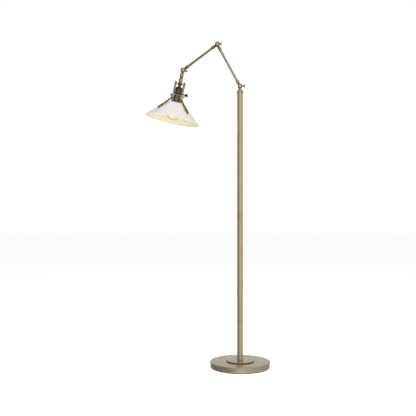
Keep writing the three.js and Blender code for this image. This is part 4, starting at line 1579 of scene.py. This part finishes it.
@dataclass
class Yoke(HeadPart):
    """The collar, the cross bar and the two posts that carry the socket and the shade."""

    collar: float = 9.3
    collar_start: float = 40.0
    collar_end: float = 62.5
    counterbore: float = 6.6
    shelf: float = 50.2
    stud: float = 4.0
    bar_top: float = 62.8
    bar_height: float = 6.2
    bar_width: float = 11.0
    centre: float = 9.5
    post_stud: float = 2.5
    post_stud_top: float = 57.5
    post_end: float = 158.7
    foot: float = 6.0
    foot_top: float = 151.0
    foot_shift: float = 2.4
    finial_tip: float = 52.5
    finial: float = 6.0
    neck_top: float = 56.5
    neck_stub: float = 6.3
    neck: float = 7.0
    neck_end: float = 79.7
    neck_bore: float = 3.0

    def collar_mesh(self) -> Mesh:
        """Returns the swelling collar with a bead at its lower end."""
        start, end, radius = self.collar_start, self.collar_end, self.collar
        side = smooth_line(
            [(radius - 2.0, start + 0.3), (radius - 1.2, start + 2.8), (radius - 0.5, start + 7.0),
             (radius, start + 12.5), (radius - 0.2, end - 5.6)], 5,
        )
        outline = [
            (self.stud + GAP, start), (radius - 2.4, start), *side, (radius - 0.9, end - 5.2),
            (radius - 0.9, end - 4.4), (radius - 0.1, end - 3.8), (radius - 0.1, end - 2.2),
            (radius - 1.2, end - 0.9), (radius - 1.6, end), (self.counterbore, end),
            (self.counterbore, self.shelf), (self.stud + GAP, self.shelf),
        ]
        return turned(outline, 96)

    def bar_mesh(self) -> Mesh:
        """Returns the cross bar with its boss and three holes."""
        top, height, half = self.bar_top, self.bar_height, self.bar_width / 2
        steps = 16
        arc = [-math.pi / 2 + math.pi * k / steps for k in range(steps + 1)]
        right = [(self.spread + half * math.cos(a), half * math.sin(a)) for a in arc]
        left = [(-x, -y) for x, y in right]
        slab = moved(prism(right + left, top, top + height), turn(math.pi / 2, "X"))
        boss = bar(self.centre, top, top + height, 64)
        holes = [bar(self.counterbore, top - 1, top + height + 1)]
        for side in (-1, 1):
            hole = bar(self.post_stud + GAP, top - 1, top + height + 1)
            holes.append(moved(hole, shift(side * self.spread, 0, 0)))
        whole = cast(fitted(slab, [boss], holes), 0.34, 6)
        return striped(whole, lambda spot: math.hypot(spot.x, spot.y) > self.centre + 0.6)

    def post_mesh(self, side: int) -> Mesh:
        """Returns a post with its rounded foot.

        Args:
            side: 1 for the post away from the pole, -1 for the other.
        """
        under = self.bar_top + self.bar_height + GAP
        end = self.post_end
        shaft = turned(
            [(0, self.post_stud_top), (self.post_stud, self.post_stud_top), (self.post_stud, under),
             (self.post - 0.4, under), (self.post, under + 0.5), (self.post, under + 2.2),
             (self.post - 0.4, under + 2.7),
             (self.post, under + 3.2), (self.post, end - 2), (0, end - 2)], 64,
        )
        foot = turned(
            smooth_line([(0.0, self.foot_top), (self.foot - 2.6, self.foot_top + 0.2),
                         (self.foot - 0.7, self.foot_top + 1.5), (self.foot, self.foot_top + 3.4),
                         (self.foot, end - 2.2),
                         (self.foot - 1.2, end - 0.4), (0.0, end)], 4),
            64,
        )
        whole = fitted(shaft, [moved(foot, shift(side * self.foot_shift, 0, 0))])
        return moved(cast(whole, 0.34, 4), shift(side * self.spread, 0, 0))

    def finial_mesh(self) -> Mesh:
        """Returns the spear-shaped cap of a post."""
        tip, seat, radius = self.finial_tip, self.bar_top - GAP, self.finial
        spear = smooth_line(
            [(0.0, tip), (0.9, tip + 0.7), (2.3, tip + 3.0), (4.3, tip + 5.6), (radius, tip + 7.6)],
            6,
        )
        outline = [
            *spear, (radius, tip + 8.3), (radius - 0.7, tip + 8.8), (radius - 0.3, seat - 0.5),
            (radius - 0.8, seat), (self.post_stud + GAP, seat),
            (self.post_stud + GAP, self.post_stud_top - GAP), (0, self.post_stud_top - GAP),
        ]
        return turned(outline, 72)

    def neck_mesh(self) -> Mesh:
        """Returns the nipple and nut that hang the socket from the bar."""
        under = self.bar_top + self.bar_height + GAP
        outline = [
            (self.neck_bore, self.neck_top), (self.neck_stub, self.neck_top),
            (self.neck_stub, under), (self.neck, under), (self.neck, under + 3.0),
            (self.neck - 0.9, under + 3.5), (self.neck - 0.9, self.neck_end - 2.6),
            (self.neck, self.neck_end - 2.0), (self.neck, self.neck_end), (5, self.neck_end),
            (5, self.neck_end + 4), (self.neck_bore, self.neck_end + 4),
        ]
        return turned(rounded(outline, 0.35), 72)

    def build(self) -> None:
        """Makes the yoke."""
        tan = TAN_BRASS.dressed(Grain.SPUN, self.place)
        dark = DARK_BRONZE.dressed(Grain.CAST, self.place)
        self.fit("swivel_collar", self.collar_mesh(), Slot.BRASS, tan)
        self.fit("yoke_bar", self.bar_mesh(), Slot.DARK_BRONZE, [dark, tan])
        self.fit("socket_neck", self.neck_mesh(), Slot.DARK_BRONZE, dark)
        for name, side in (("left", 1), ("right", -1)):
            beside = Placement(
                self.place.matrix() @ Vector((side * self.spread, 0, 0)), self.place.up
            )
            drawn = TAN_BRASS.dressed(Grain.DRAWN, beside)
            self.fit(f"yoke_post_{name}", self.post_mesh(side), Slot.BRASS, drawn)
            self.fit(f"post_finial_{name}", self.finial_mesh(), Slot.BRASS, tan, place=beside)


@dataclass
class Socket(HeadPart):
    """The lampholder: cap, switch block, ribbed shell, gallery ring and turn key."""

    radius: float = 15.5
    cap_top: float = 80.0
    cap_end: float = 119.2
    wall: float = 1.2
    shell_end: float = 161.0
    shell_bore: float = 14.2
    ribs: int = 6
    rib_pitch: float = 5.6
    rib: float = 1.2
    ring_inner: float = 14.1
    ring_outer: float = 19.5
    ring_top: float = 119.5
    ring_height: float = 4.0
    lug: float = 7.0
    ear_inner: float = 27.0
    ear_end: float = 143.0
    ear_slot: float = 3.8
    cross_hole: float = 1.7
    key_depth: float = 108.6
    key_shaft: float = 2.0
    key_inner: float = 9.0
    key_paddle: float = 37.0
    key_end: float = 49.0
    key_half: float = 7.0
    key_thickness: float = 4.2

    def along_key(self, mesh: Mesh) -> Mesh:
        """Turns a mesh that points along +Z to point where the turn key does."""
        axis = self.place.rotation().inverted() @ Vector(joint("key_turn")["axis"])
        azimuth = math.atan2(axis.y, axis.x)
        return moved(mesh, turn(math.pi / 2, "Y"), shift(0, 0, self.key_depth), turn(azimuth, "Z"))

    def cap_mesh(self) -> Mesh:
        """Returns the domed cap with its beads and the hole for the key."""
        radius, top, end, wall = self.radius, self.cap_top, self.cap_end, self.wall
        shoulder = smooth_line(
            [
                (6.5, top), (radius - 5.0, top + 0.2), (radius - 1.8, top + 2.2),
                (radius - 0.3, top + 5.2), (radius, top + 8.6)
            ],
            5,
        )
        beads: list[Point] = []
        for level in (top + 10.6, end - 3.4):
            beads += [
                (radius, level - 0.9), (radius - 0.6, level - 0.35), (radius - 0.6, level + 0.35),
                (radius, level + 0.9)
            ]
        outline = [
            (5 + GAP, top), *shoulder, *beads, (radius, end - 0.4), (radius - 0.4, end),
            (radius - wall, end), (radius - wall, top + 8.5), (radius - wall - 1.4, top + 4.6),
            (radius - wall - 5.2, top + wall), (5 + GAP, top + wall),
        ]
        hole = self.along_key(bar(self.key_shaft + GAP, 10, 20))
        return fitted(turned(outline, 96), cut=[hole])

    def shell_mesh(self) -> Mesh:
        """Returns the sleeve round the bulb's cap, with a stack of rolled ribs."""
        start = self.ring_top + self.ring_height + GAP
        end = self.shell_end
        core = self.radius - 0.2
        outline = [
            (self.shell_bore, start), (core, start), (core, end - 3.4), (self.radius, end - 2.8),
            (self.radius, end - 0.5), (self.radius - 0.5, end), (self.shell_bore, end),
        ]
        sleeve = turned(rounded(outline, 0.3), 96)
        return rib_recipe().grow(
            sleeve, Radius=core, Start=start + 2 * self.rib, Pitch=self.rib_pitch, Count=self.ribs,
            Wire=self.rib, Sides=96
        )

    def ring_mesh(self) -> Mesh:
        """Returns the clamping ring: a lug round each post, a hanging fork for each strut."""
        top, end = self.ring_top, self.ring_top + self.ring_height - 0.8
        middle = (top + end) / 2
        band = turned(
            rounded([(0, top), (self.ring_outer - 1.2, top), (self.ring_outer, middle),
                     (self.ring_outer - 1.2, end),
                     (0, end)], 0.6), 96,
        )
        solids = []
        holes = [bar(self.ring_inner, top - 1, end + 1, 96)]
        for side in (-1, 1):
            lug = bar(self.lug, top, end, 48)
            solids.append(moved(lug, shift(side * self.spread, 0, 0)))
            holes.append(
                moved(bar(self.post + GAP, top - 1, end + 1), shift(side * self.spread, 0, 0))
            )
        reach = self.hinge + self.eye
        half = self.ear / 2
        hook = [(self.ring_inner + 1, top), (reach - 1.6, top), (reach, top + 1.6),
                (reach, self.ear_end - 2.4), (reach - 2.4, self.ear_end),
                (self.ear_inner + 1.6, self.ear_end), (self.ear_inner, self.ear_end - 1.6),
                (self.ear_inner, end), (self.ring_inner + 1, end)]
        gap = [
            (self.ear_inner - 1, end), (reach + 4, end), (reach + 4, self.ear_end + 1),
            (self.ear_inner - 1, self.ear_end + 1)
        ]
        for azimuth in self.azimuths:
            facing = turn(math.radians(azimuth), "Z")
            cross = moved(
                across(bar(self.cross_hole, -self.ear, self.ear)),
                shift(self.hinge, 0, self.hinge_depth)
            )
            solids.append(moved(prism(hook, -half, half), facing))
            holes += [
                moved(prism(gap, -self.ear_slot / 2, self.ear_slot / 2), facing),
                moved(cross, facing)
            ]
        return cast(fitted(band, solids, holes), 0.32, 4, 0.35)

    def thumb_mesh(self) -> Mesh:
        """Returns the knurled thumb screw that clamps a post, standing on the lug's outer face."""
        seat = self.spread + self.lug + GAP
        middle = self.ring_top + 1.8
        outline = rounded([(0, seat), (2.4, seat), (2.6, seat + 1.4), (4.3, seat + 1.9),
                           (4.5, seat + 5.6), (3.2, seat + 6.4),
                           (0, seat + 6.4)], 0.3)
        return moved(turned(outline, 40), turn(math.pi / 2, "Y"), shift(0, 0, middle))

    def key_mesh(self) -> Mesh:
        """Returns the turn key with its fishtail paddle."""
        paddle, end, half = self.key_paddle, self.key_end, self.key_half
        stem = turned(
            [(0, self.key_inner), (self.key_shaft, self.key_inner), (self.key_shaft, 17.6),
             (self.key_shaft + 1.2, 18.0), (self.key_shaft + 1.8, 19.4),
             (self.key_shaft + 1.6, 21.0), (self.key_shaft + 1.0, 22.4),
             (self.key_shaft + 1.2, paddle - 4), (self.key_shaft + 1.4, paddle),
             (self.key_shaft, paddle + 3), (0, paddle + 5)],
            48,
        )
        side = smooth_line(
            [(2.6, paddle - 3), (3.4, paddle - 0.6), (5.2, paddle + 2.4), (half - 0.5, end - 5.4),
             (half, end - 2.2),
             (half - 0.8, end - 0.1), (half - 2.6, end - 0.1), (0.0, end - 1.4)], 4,
        )
        fishtail = prism(
            mirrored(side), -self.key_thickness / 2,
            self.key_thickness / 2
        )
        return self.along_key(cast(fitted(stem, [fishtail]), 0.26, 6, 0.4))

    def build(self) -> None:
        """Makes the socket; the switch block inside keeps its shape."""
        dark = DARK_BRONZE.dressed(Grain.SPUN, self.place)
        self.fit("socket_cap", self.cap_mesh(), Slot.DARK_BRONZE, dark)
        self.fit(
            "socket_shell", self.shell_mesh(), Slot.DARK_BRONZE,
            RUSSET_BRONZE.dressed(Grain.SPUN, self.place)
        )
        self.fit(
            "gallery_ring", self.ring_mesh(), Slot.YELLOW_BRASS,
            PALE_BRASS.dressed(Grain.SPUN, self.place)
        )
        thumbs = around_recipe().grow(self.thumb_mesh(), Count=2, First=0.0, Pitch=math.pi)
        self.fit(
            "post_thumb_screws", thumbs, Slot.OLIVE_BRONZE,
            OLIVE_BRONZE.dressed(Grain.CAST, self.place)
        )
        self.fit(
            "turn_key", self.key_mesh(), Slot.DARK_BRONZE,
            BLACK_BRONZE.dressed(Grain.CAST, self.place), body="key"
        )
        self.dress("socket_core", Slot.PHENOLIC, BLACK_PHENOLIC.dressed(self.place))


# ---- head: struts, shade and bulb


@dataclass
class Shade(HeadPart):
    """The enamelled cone and the three struts that hold it."""

    hole: float = 16.3
    neck: float = 48.0
    top: float = 159.0
    rim: float = 126.0
    rim_depth: float = 236.0
    sheet: float = 1.0
    tip_depth: float = 200.5
    rod: float = 3.6
    ball: float = 4.5
    ferrule: float = 11.5
    peg: float = 1.6
    peg_reach: float = 8.6
    nut: float = 4.0
    nut_height: float = 2.2
    cross: float = 1.4

    def slope(self) -> float:
        """Returns the angle between the cone's side and the head's axis."""
        return math.atan2(self.rim - self.neck, self.rim_depth - self.top - 2)

    def radius_at(self, depth: float) -> float:
        """Returns the radius of the cone's outer face at a depth."""
        return self.neck + (depth - self.top - 2) * math.tan(self.slope())

    def tip(self) -> Vector:
        """Returns the centre of a strut's ball, as radius and depth."""
        stand = self.ball + GAP
        return Vector(
            (self.radius_at(self.tip_depth) + stand / math.cos(self.slope()), self.tip_depth)
        )

    def run(self) -> Vector:
        """Returns the way from a strut's hinge to its ball, as radius and depth."""
        return self.tip() - Vector((self.hinge, self.hinge_depth))

    def along(self, mesh: Mesh, azimuth: float) -> Mesh:
        """Moves a mesh made along +Z onto the strut at an azimuth in degrees."""
        lean_out = math.atan2(self.run().x, self.run().y)
        facing = turn(math.radians(azimuth), "Z")
        return moved(mesh, turn(lean_out, "Y"), shift(self.hinge, 0, self.hinge_depth), facing)

    def through(self, mesh: Mesh, azimuth: float) -> Mesh:
        """Moves a mesh made along +Z so that it points from a strut's ball into the shade."""
        facing = turn(math.radians(azimuth), "Z")
        inward = turn(self.slope() - math.pi / 2, "Y")
        return moved(mesh, inward, shift(self.tip().x, 0, self.tip().y), facing)

    def strut_frame(self, azimuth: float) -> Placement:
        """Returns the placement whose +Z runs along a strut."""
        step = Vector((self.run().x, 0, self.run().y))
        turned_out = Matrix.Rotation(math.radians(azimuth), 3, "Z")
        origin = self.place.matrix() @ (turned_out @ Vector((self.hinge, 0, self.hinge_depth)))
        return Placement(origin, self.place.rotation() @ turned_out @ step, Vector((0, 1, 0.01)))

    def cone(self) -> Mesh:
        """Returns the shade: a thin cone with a turned-in top and a rolled rim."""
        slope = self.slope()
        out = Vector((math.cos(slope), -math.sin(slope)))
        depth = self.top + 2
        side = [
            Vector((self.radius_at(z), z)) for z in [
                depth + (self.rim_depth - 1 - depth) * k / 12 for k in range(13)
            ]
        ]
        shoulder = smooth_line(
            [(self.neck - 5.0, self.top), (self.neck - 2.0, self.top + 0.35), tuple(side[0])], 5
        )
        inner_shoulder = [(r - 0.35, z + self.sheet * 0.98) for r, z in shoulder[:-1]]
        bead = Vector((self.rim - 0.6, self.rim_depth + 0.3))
        roll = [
            bead + Vector((math.cos(a), math.sin(a))) * 1.25 for a in [
                math.radians(-60 + 24 * k) for k in range(11)
            ]
        ]
        inside = [point - out * self.sheet for point in side]
        outline = [
            (self.hole, self.top), (self.hole + 8, self.top), *shoulder[:-1],
            *[tuple(p) for p in side[:-1]], *[tuple(p) for p in roll],
            *[tuple(p) for p in reversed(inside[1:-1])], *reversed(inner_shoulder),
            (self.hole + 8, self.top + self.sheet), (self.hole, self.top + self.sheet),
        ]
        holes = [
            self.through(
                bar(self.peg + GAP, 1, self.peg_reach), azimuth
            ) for azimuth in self.azimuths
        ]
        shell = fitted(turned(outline, 224), cut=holes)
        return striped(shell, self.is_lining)

    def is_lining(self, spot: Vector) -> bool:
        """Tells whether a point of the shade lies on its inner face."""
        if spot.z < self.top + 3.4:
            return spot.z > self.top + self.sheet * 0.5 + 0.4 * max(
                0.0, math.hypot(spot.x, spot.y) - self.neck + 5
            )
        middle = self.radius_at(spot.z) - 0.5 * self.sheet / math.cos(self.slope())
        return math.hypot(spot.x, spot.y) < middle and spot.z < self.rim_depth - 0.4

    def rod_mesh(self, azimuth: float) -> Mesh:
        """Returns a strut: an eye, a slim rod with a ferrule, and a stout end."""
        radius = self.rod
        end = self.run().length - self.ferrule - GAP
        eye = across(bar(self.eye, -1.5, 1.5, 48))
        tab = prism(oblong(2.2, 0, 9), -1.5, 1.5)
        body = turned(
            [(0, 7.0), (radius - 0.8, 7.0), (radius, 8.6), (radius, 11.0), (radius + 0.7, 12.0),
             (radius + 0.9, 13.0), (radius + 0.9, 16.4), (radius + 0.6, 17.4), (radius, 18.4),
             *smooth_line([(radius, end - 22), (radius + 0.3, end - 17), (radius + 0.9, end - 11),
                           (radius + 1.3, end - 6),
                           (radius + 1.35, end - 1.4)], 4),
             (radius + 0.7, end), (0, end)], 64,
        )
        hole = across(bar(self.cross + GAP, -4, 4))
        return self.along(cast(fitted(eye, [tab, body], [hole]), 0.28, 5, 0.35), azimuth)

    def ball_mesh(self, azimuth: float) -> Mesh:
        """Returns the bright ring and dark ball at the end of a strut, with its peg."""
        length = self.run().length
        start = length - self.ferrule
        ball = self.ball
        steps = 14
        cap = [(ball * math.cos(a), length + (ball - 0.1) * math.sin(a)) for a in
               [math.pi / 2 * k / steps for k in range(steps + 1)]]
        cap[-1] = (0.0, cap[-1][1])
        ring = [(0, start), (ball - 0.5, start), (ball, start + 0.5), (ball, start + 1.6),
                (ball - 0.4, start + 2.0), (ball, start + 2.4), (ball, start + 4.2),
                (ball - 0.7, start + 4.6),
                (ball - 0.6, start + 6.4)]
        pin = turned(
            rounded([(0, 0), (self.peg, 0), (self.peg, self.peg_reach), (0, self.peg_reach)], 0.3),
            32
        )
        whole = fitted(self.along(turned(ring + cap, 64), azimuth), [self.through(pin, azimuth)])
        strut = (self.place.matrix().inverted() @ self.strut_frame(azimuth).matrix()).inverted()
        return striped(whole, lambda spot: (strut @ spot).z > start + 4.5)

    def nut_mesh(self) -> Mesh:
        """Returns a hexagon nut with eased corners, seated inside the shade."""
        seat = self.ball + GAP + self.sheet + GAP + 0.3
        blank = bar(self.nut, seat, seat + self.nut_height, 6
        )
        dome = turned(rounded([(0, seat), (self.nut - 0.1, seat),
                               (self.nut - 0.1, seat + self.nut_height - 0.2),
                               (self.nut - 0.7, seat + self.nut_height),
                               (0, seat + self.nut_height)], 0.2), 48)
        return fitted(blank, cut=[bar(self.peg + GAP, seat - 1, seat + 4)], kept=[dome])

    def screw_mesh(self) -> Mesh:
        """Returns a slotted cross screw, in place at azimuth 0."""
        half = self.ear / 2 + GAP
        body = turned(
            [(0, -half - 1.8), (1.3, -half - 1.75), (2.2, -half - 1.4), (2.7, -half - 0.8),
             (2.7, -half), (self.cross, -half),
             (self.cross, half + 1.3), (self.cross - 0.3, half + 1.6), (0, half + 1.6)], 48,
        )
        slot = moved(
            prism(oblong(3, -0.3, 0.3), -half - 3, -half - 1.2),
            turn(0.5, "Y")
        )
        return moved(fitted(across(body), cut=[slot]), shift(self.hinge, 0, self.hinge_depth))

    def build(self) -> None:
        """Makes the shade, the struts and their fasteners."""
        # The second material is the lining, painted warm and glowing as light from the bulb.
        lined = [WHITE_ENAMEL.dressed(self.place), BULB_LIT_LINING.dressed(self.place)]
        self.fit("shade", self.cone(), Slot.ENAMEL, lined, sharp=50)
        for number, azimuth in enumerate(self.azimuths, 1):
            strut = self.strut_frame(azimuth)
            olive = STRUT_BRONZE.dressed(Grain.SPUN, strut)
            tips = [BRIGHT_BRASS.dressed(Grain.SPUN, strut), olive]
            self.fit(f"strut_rod_{number}", self.rod_mesh(azimuth), Slot.OLIVE_BRONZE, olive)
            self.fit(f"strut_ball_{number}", self.ball_mesh(azimuth), Slot.YELLOW_BRASS, tips)
        ring = around_recipe()
        first, pitch = math.radians(self.azimuths[0]), math.radians(
            self.azimuths[1] - self.azimuths[0]
        )
        for name, mesh, slot, finish in (
            ("strut_nut", self.through(self.nut_mesh(), 0), Slot.STEEL, ZINC_STEEL),
            ("strut_screw", self.screw_mesh(), Slot.DARK_BRONZE, BLACK_BRONZE),
        ):
            nodes = [f"{name}_{number}" for number in range(1, len(self.azimuths) + 1)]
            copies = ring.grow(mesh, Count=len(nodes), First=first, Pitch=pitch)
            self.fit(f"{name}s", copies, slot, finish.dressed(Grain.SPUN, self.place), nodes)


@dataclass
class Bulb(SubAssembly):
    """Screw cap, glass envelope, stem and the glowing filament."""

    cap: float = 13.2
    cap_top: float = 127.0
    cap_end: float = 153.0
    radius: float = 30.0
    tip: float = 236.4
    glass: float = 0.8
    wire_start: float = 32.0
    wire_length: float = 24.0

    def cap_mesh(self) -> Mesh:
        """Returns the screw cap: a thin shell with its contact, and the rolled thread."""
        top, end, radius = self.cap_top, self.cap_end, self.cap - 0.55
        outline = [
            (0, top - 1.4), (3.6, top - 1.4), (4.4, top - 0.8), (5.6, top),
            (radius - 2.4, top + 1.0), (radius, top + 4), (radius, end - 2.2),
            (radius + 0.5, end - 1.6), (radius + 0.5, end), (radius - 0.9, end),
            (radius - 0.9, top + 5), (0, top + 3),
        ]
        return thread_recipe().grow(
            turned(rounded(outline, 0.4), 72), Radius=radius - 0.1, Start=top + 4.6, Length=17.0,
            Turns=5.0, Wire=0.62, Sides=64,
        )

    def envelope(self) -> Mesh:
        """Returns the blown glass, open where it meets the cap."""
        neck, end, tip = self.cap, self.cap_end, self.tip
        outside = smooth_line(
            [(neck, end + GAP), (neck + 0.2, end + 8.6), (17.0, end + 17.0), (23.5, tip - 53.4),
             (28.7, tip - 40.4), (self.radius, tip - 29.4), (27.6, tip - 16.9), (21.4, tip - 7.4),
             (11.5, tip - 1.6),
             (0.0, tip)], 7,
        )
        inside: list[Point] = []
        for before, here, after in zip(
            [outside[0], *outside], outside, [*outside[1:], outside[-1]]
        ):
            way = (Vector(after) - Vector(before)).normalized()
            inside.append((max(0.0, here[0] - self.glass * way.y), here[1] + self.glass * way.x))
        inside[0] = (inside[0][0], outside[0][1])
        inside[-1] = (0.0, tip - self.glass)
        return turned([*reversed(outside), *inside], 96)

    def stem(self) -> Mesh:
        """Returns the glass stem with its flare and pinch."""
        floor = self.cap_end - 4
        line = smooth_line(
            [
                (9.6, floor + 3), (5.4, floor + 9), (3.4, floor + 17), (2.7, floor + 27),
                (2.7, floor + 33), (3.6, floor + 36)
            ],
            6,
        )
        return turned(
            [
                (0, floor), (10.2, floor), (10.5, floor + 0.8), *line, (2.2, floor + 38.4),
                (0, floor + 39)
            ],
            48
        )

    def build(self) -> None:
        """Makes the bulb."""
        self.fit(
            "bulb_cap", self.cap_mesh(), Slot.YELLOW_BRASS,
            BRIGHT_BRASS.dressed(Grain.SPUN, self.place)
        )
        # The glass's outline tint and faint glow are painted reflection and painted glare.
        self.fit("bulb_glass", self.envelope(), Slot.GLASS, CLEAR_GLASS.dressed(self.place))
        self.fit("bulb_stem", self.stem(), Slot.GLASS, STEM_GLASS.dressed(self.place))
        floor = self.cap_end + self.wire_start
        wire = filament_recipe().grow(
            Low=floor, High=floor + self.wire_length, Inner=6.0, Outer=11.0, Bends=13, Wire=0.4
        )
        self.fit("bulb_filament", wire, Slot.GLASS, HOT_WIRE.dressed(self.place))


def striped(mesh: Mesh, rule: Callable[[Vector], bool]) -> Mesh:
    """Gives the faces whose middle obeys a rule the second material, and returns the mesh."""
    for face in mesh.polygons:
        face.material_index = int(rule(face.center))
    return mesh


# ---- studio


@dataclass
class Studio:
    """Floor, soft lights, surroundings and the camera."""

    lens: float = 53.9
    eye: tuple[float, float, float] = (-0.149, -2.896, 0.683)
    lift: float = 0.029

    def camera(self) -> None:
        """Sets the camera, level and square to the arms."""
        data = bpy.data.cameras.new("camera")
        data.lens = self.lens
        data.shift_y = self.lift
        view = bpy.data.objects.new("camera", data)
        view.location = self.eye
        view.rotation_euler = (math.pi / 2, 0, 0)
        bpy.context.scene.collection.objects.link(view)
        bpy.context.scene.camera = view
        bpy.context.scene.view_settings.view_transform = "Standard"

    def surroundings(self) -> None:
        """Sets a white backdrop for the eye and a soft graded room for reflections."""
        world = bpy.data.worlds.new("room")
        bpy.context.scene.world = world
        world.use_nodes = True
        room = NodeTree()
        room.tree, room.prefix = world.node_tree, "ShaderNode"
        room.tree.nodes.clear()
        way = room.add("TexCoord").outputs["Generated"]
        parts = room.add("SeparateXYZ", {0: way}).outputs
        sides = [(0, 0.4), (0.1, 0.38), (0.3, 0.62), (0.46, 1), (0.56, 1), (0.72, 0.8), (1, 0.72)]
        depths = [(0, 1), (0.5, 0.85), (0.8, 0.68), (1, 0.72)]
        heights = [
            (0, 0.64), (0.3, 0.64), (0.39, 0.74), (0.44, 0.92), (0.5, 1), (0.62, 1), (0.8, 0.66),
            (1, 0.5),
        ]
        shades = []
        for part, stops in zip(parts, (sides, depths, heights)):
            place = room.add("MapRange", {0: part, 1: -1.0}).outputs[0]
            shades.append(self.ramp(room, place, stops))
        shade = shades[0]
        for other in shades[1:]:
            shade = room.blend(1.0, shade, other, "MULTIPLY")
        soft = room.add("Background", {0: shade, 1: 1.05}).outputs[0]
        white = room.add("Background", {0: (1, 1, 1, 1)}).outputs[0]
        seen = room.add("LightPath").outputs["Is Camera Ray"]
        choice = room.add("MixShader", {0: seen, 1: soft, 2: white}).outputs[0]
        room.add("OutputWorld", {0: choice})

    def ramp(
        self, room: NodeTree, place: NodeSocket, stops: Sequence[tuple[float, float]]
    ) -> NodeSocket:
        """Adds a ramp of greys.

        Args:
            room: The tree that it goes in.
            place: Where on the ramp to read, from 0 to 1.
            stops: Places from 0 to 1 with their brightness.

        Returns:
            The grey.
        """
        node = room.add("ValToRGB", {0: place})
        elements = node.color_ramp.elements
        while len(elements) > 1:
            elements.remove(elements[-1])
        for index, (spot, level) in enumerate(stops):
            stop = elements[0] if index == 0 else elements.new(spot)
            stop.position = spot
            stop.color = (level, level, level, 1)
        return node.outputs[0]

    def floor(self) -> None:
        """Lays a pale floor that fades into the backdrop."""
        size = 30.0
        mesh = mesh_of(
            "floor", [(-size, -size, 0), (size, -size, 0), (size, size, 0), (-size, size, 0)],
            [[0, 1, 2, 3]]
        )
        paper = Paint("paper", STAND_PLACE)
        speck = paper.noise(paper.spot, 0.004, 3.0)
        paper.wire("Base Color", paper.blend(speck, (0.93, 0.93, 0.93, 1), (0.96, 0.96, 0.96, 1)))
        paper.set(
            Roughness=0.9, Emission_Color=(1, 1, 1, 1), Emission_Strength=0.55,
            Specular_IOR_Level=0.1
        )
        mesh.materials.append(paper.material)
        ground = bpy.data.objects.new("floor", mesh)
        bpy.context.scene.collection.objects.link(ground)
        ground.visible_glossy = False

    def lights(self) -> None:
        """Hangs three large soft lights: a key, a fill and one overhead."""
        for name, spot, aim, size, power in (
            ("key", (-1.6, -2.4, 2.9), (0, 0, 0.7), 2.2, 34.0),
            ("fill", (2.6, -1.4, 1.9), (0, 0, 0.8), 1.8, 14.0),
            ("top", (0.2, 0.6, 3.6), (0, 0, 0), 2.4, 16.0),
        ):
            data = bpy.data.lights.new(name, "AREA")
            data.size = size
            data.energy = power
            lamp = bpy.data.objects.new(name, data)
            lamp.location = spot
            lamp.rotation_euler = (Vector(aim) - Vector(spot)).to_track_quat("-Z", "Y").to_euler()
            lamp.visible_glossy = False
            bpy.context.scene.collection.objects.link(lamp)

    def build(self) -> None:
        """Makes the studio."""
        self.camera()
        self.surroundings()
        self.floor()
        self.lights()


def main() -> None:
    """Builds the studio and the lamp, from the floor up to the bulb."""
    logging.basicConfig(level=logging.INFO, format="%(message)s")
    Studio().build()
    lower_names = ("lower_arm_tongue", "lower_arm_rod", "elbow_fork")
    upper_names = ("upper_arm_tongue", "upper_arm_rod", "wrist_fork")
    wrist_place = UPPER_ARM_PLACE.shifted((WRIST - ELBOW).length / MM)
    elbow_place = LOWER_ARM_PLACE.shifted((ELBOW - SHOULDER).length / MM)
    parts: list[SubAssembly] = [
        Stand("stand", STAND_PLACE),
        Turret("turret", TURRET_PLACE),
        KnuckleSet(
            "turret", TURRET_PLACE, name="shoulder", knuckle=SHOULDER_KNUCKLE, roll=math.radians(35)
        ),
        Arm(
            "lower_arm", LOWER_ARM_PLACE, near=SHOULDER_KNUCKLE, far=ELBOW_KNUCKLE,
            hinge="elbow_tilt",
            screw="elbow_screw_turn", reach=WRIST - ELBOW, names=lower_names,
            tube_finish=SATIN_BRASS,
            ferrule_finish=TAN_BRASS,
        ),
        KnuckleSet("lower_arm", elbow_place, name="elbow", knuckle=ELBOW_KNUCKLE, roll=0.0),
        # The upper arm's rod takes a darker brass than the lower arm's rod as painted shade.
        Arm(
            "upper_arm", UPPER_ARM_PLACE, near=ELBOW_KNUCKLE, far=WRIST_KNUCKLE, hinge="wrist_tilt",
            screw="wrist_screw_turn", reach=HEAD_AXIS, names=upper_names, tube_finish=SHADED_ROD_BRASS,
            ferrule_finish=DARK_BRASS,
        ),
        KnuckleSet(
            "upper_arm", wrist_place, name="wrist", knuckle=WRIST_KNUCKLE, roll=math.radians(80)
        ),
        HeadMount("head_mount", HEAD_PLACE),
        Yoke("head", HEAD_PLACE),
        Socket("head", HEAD_PLACE),
        Shade("head", HEAD_PLACE),
        Bulb("head", HEAD_PLACE),
    ]
    for part in parts:
        part.build()
    LOG.info("%d pieces", sum(len(part.made) for part in parts))


if __name__ == "__main__":
    main()
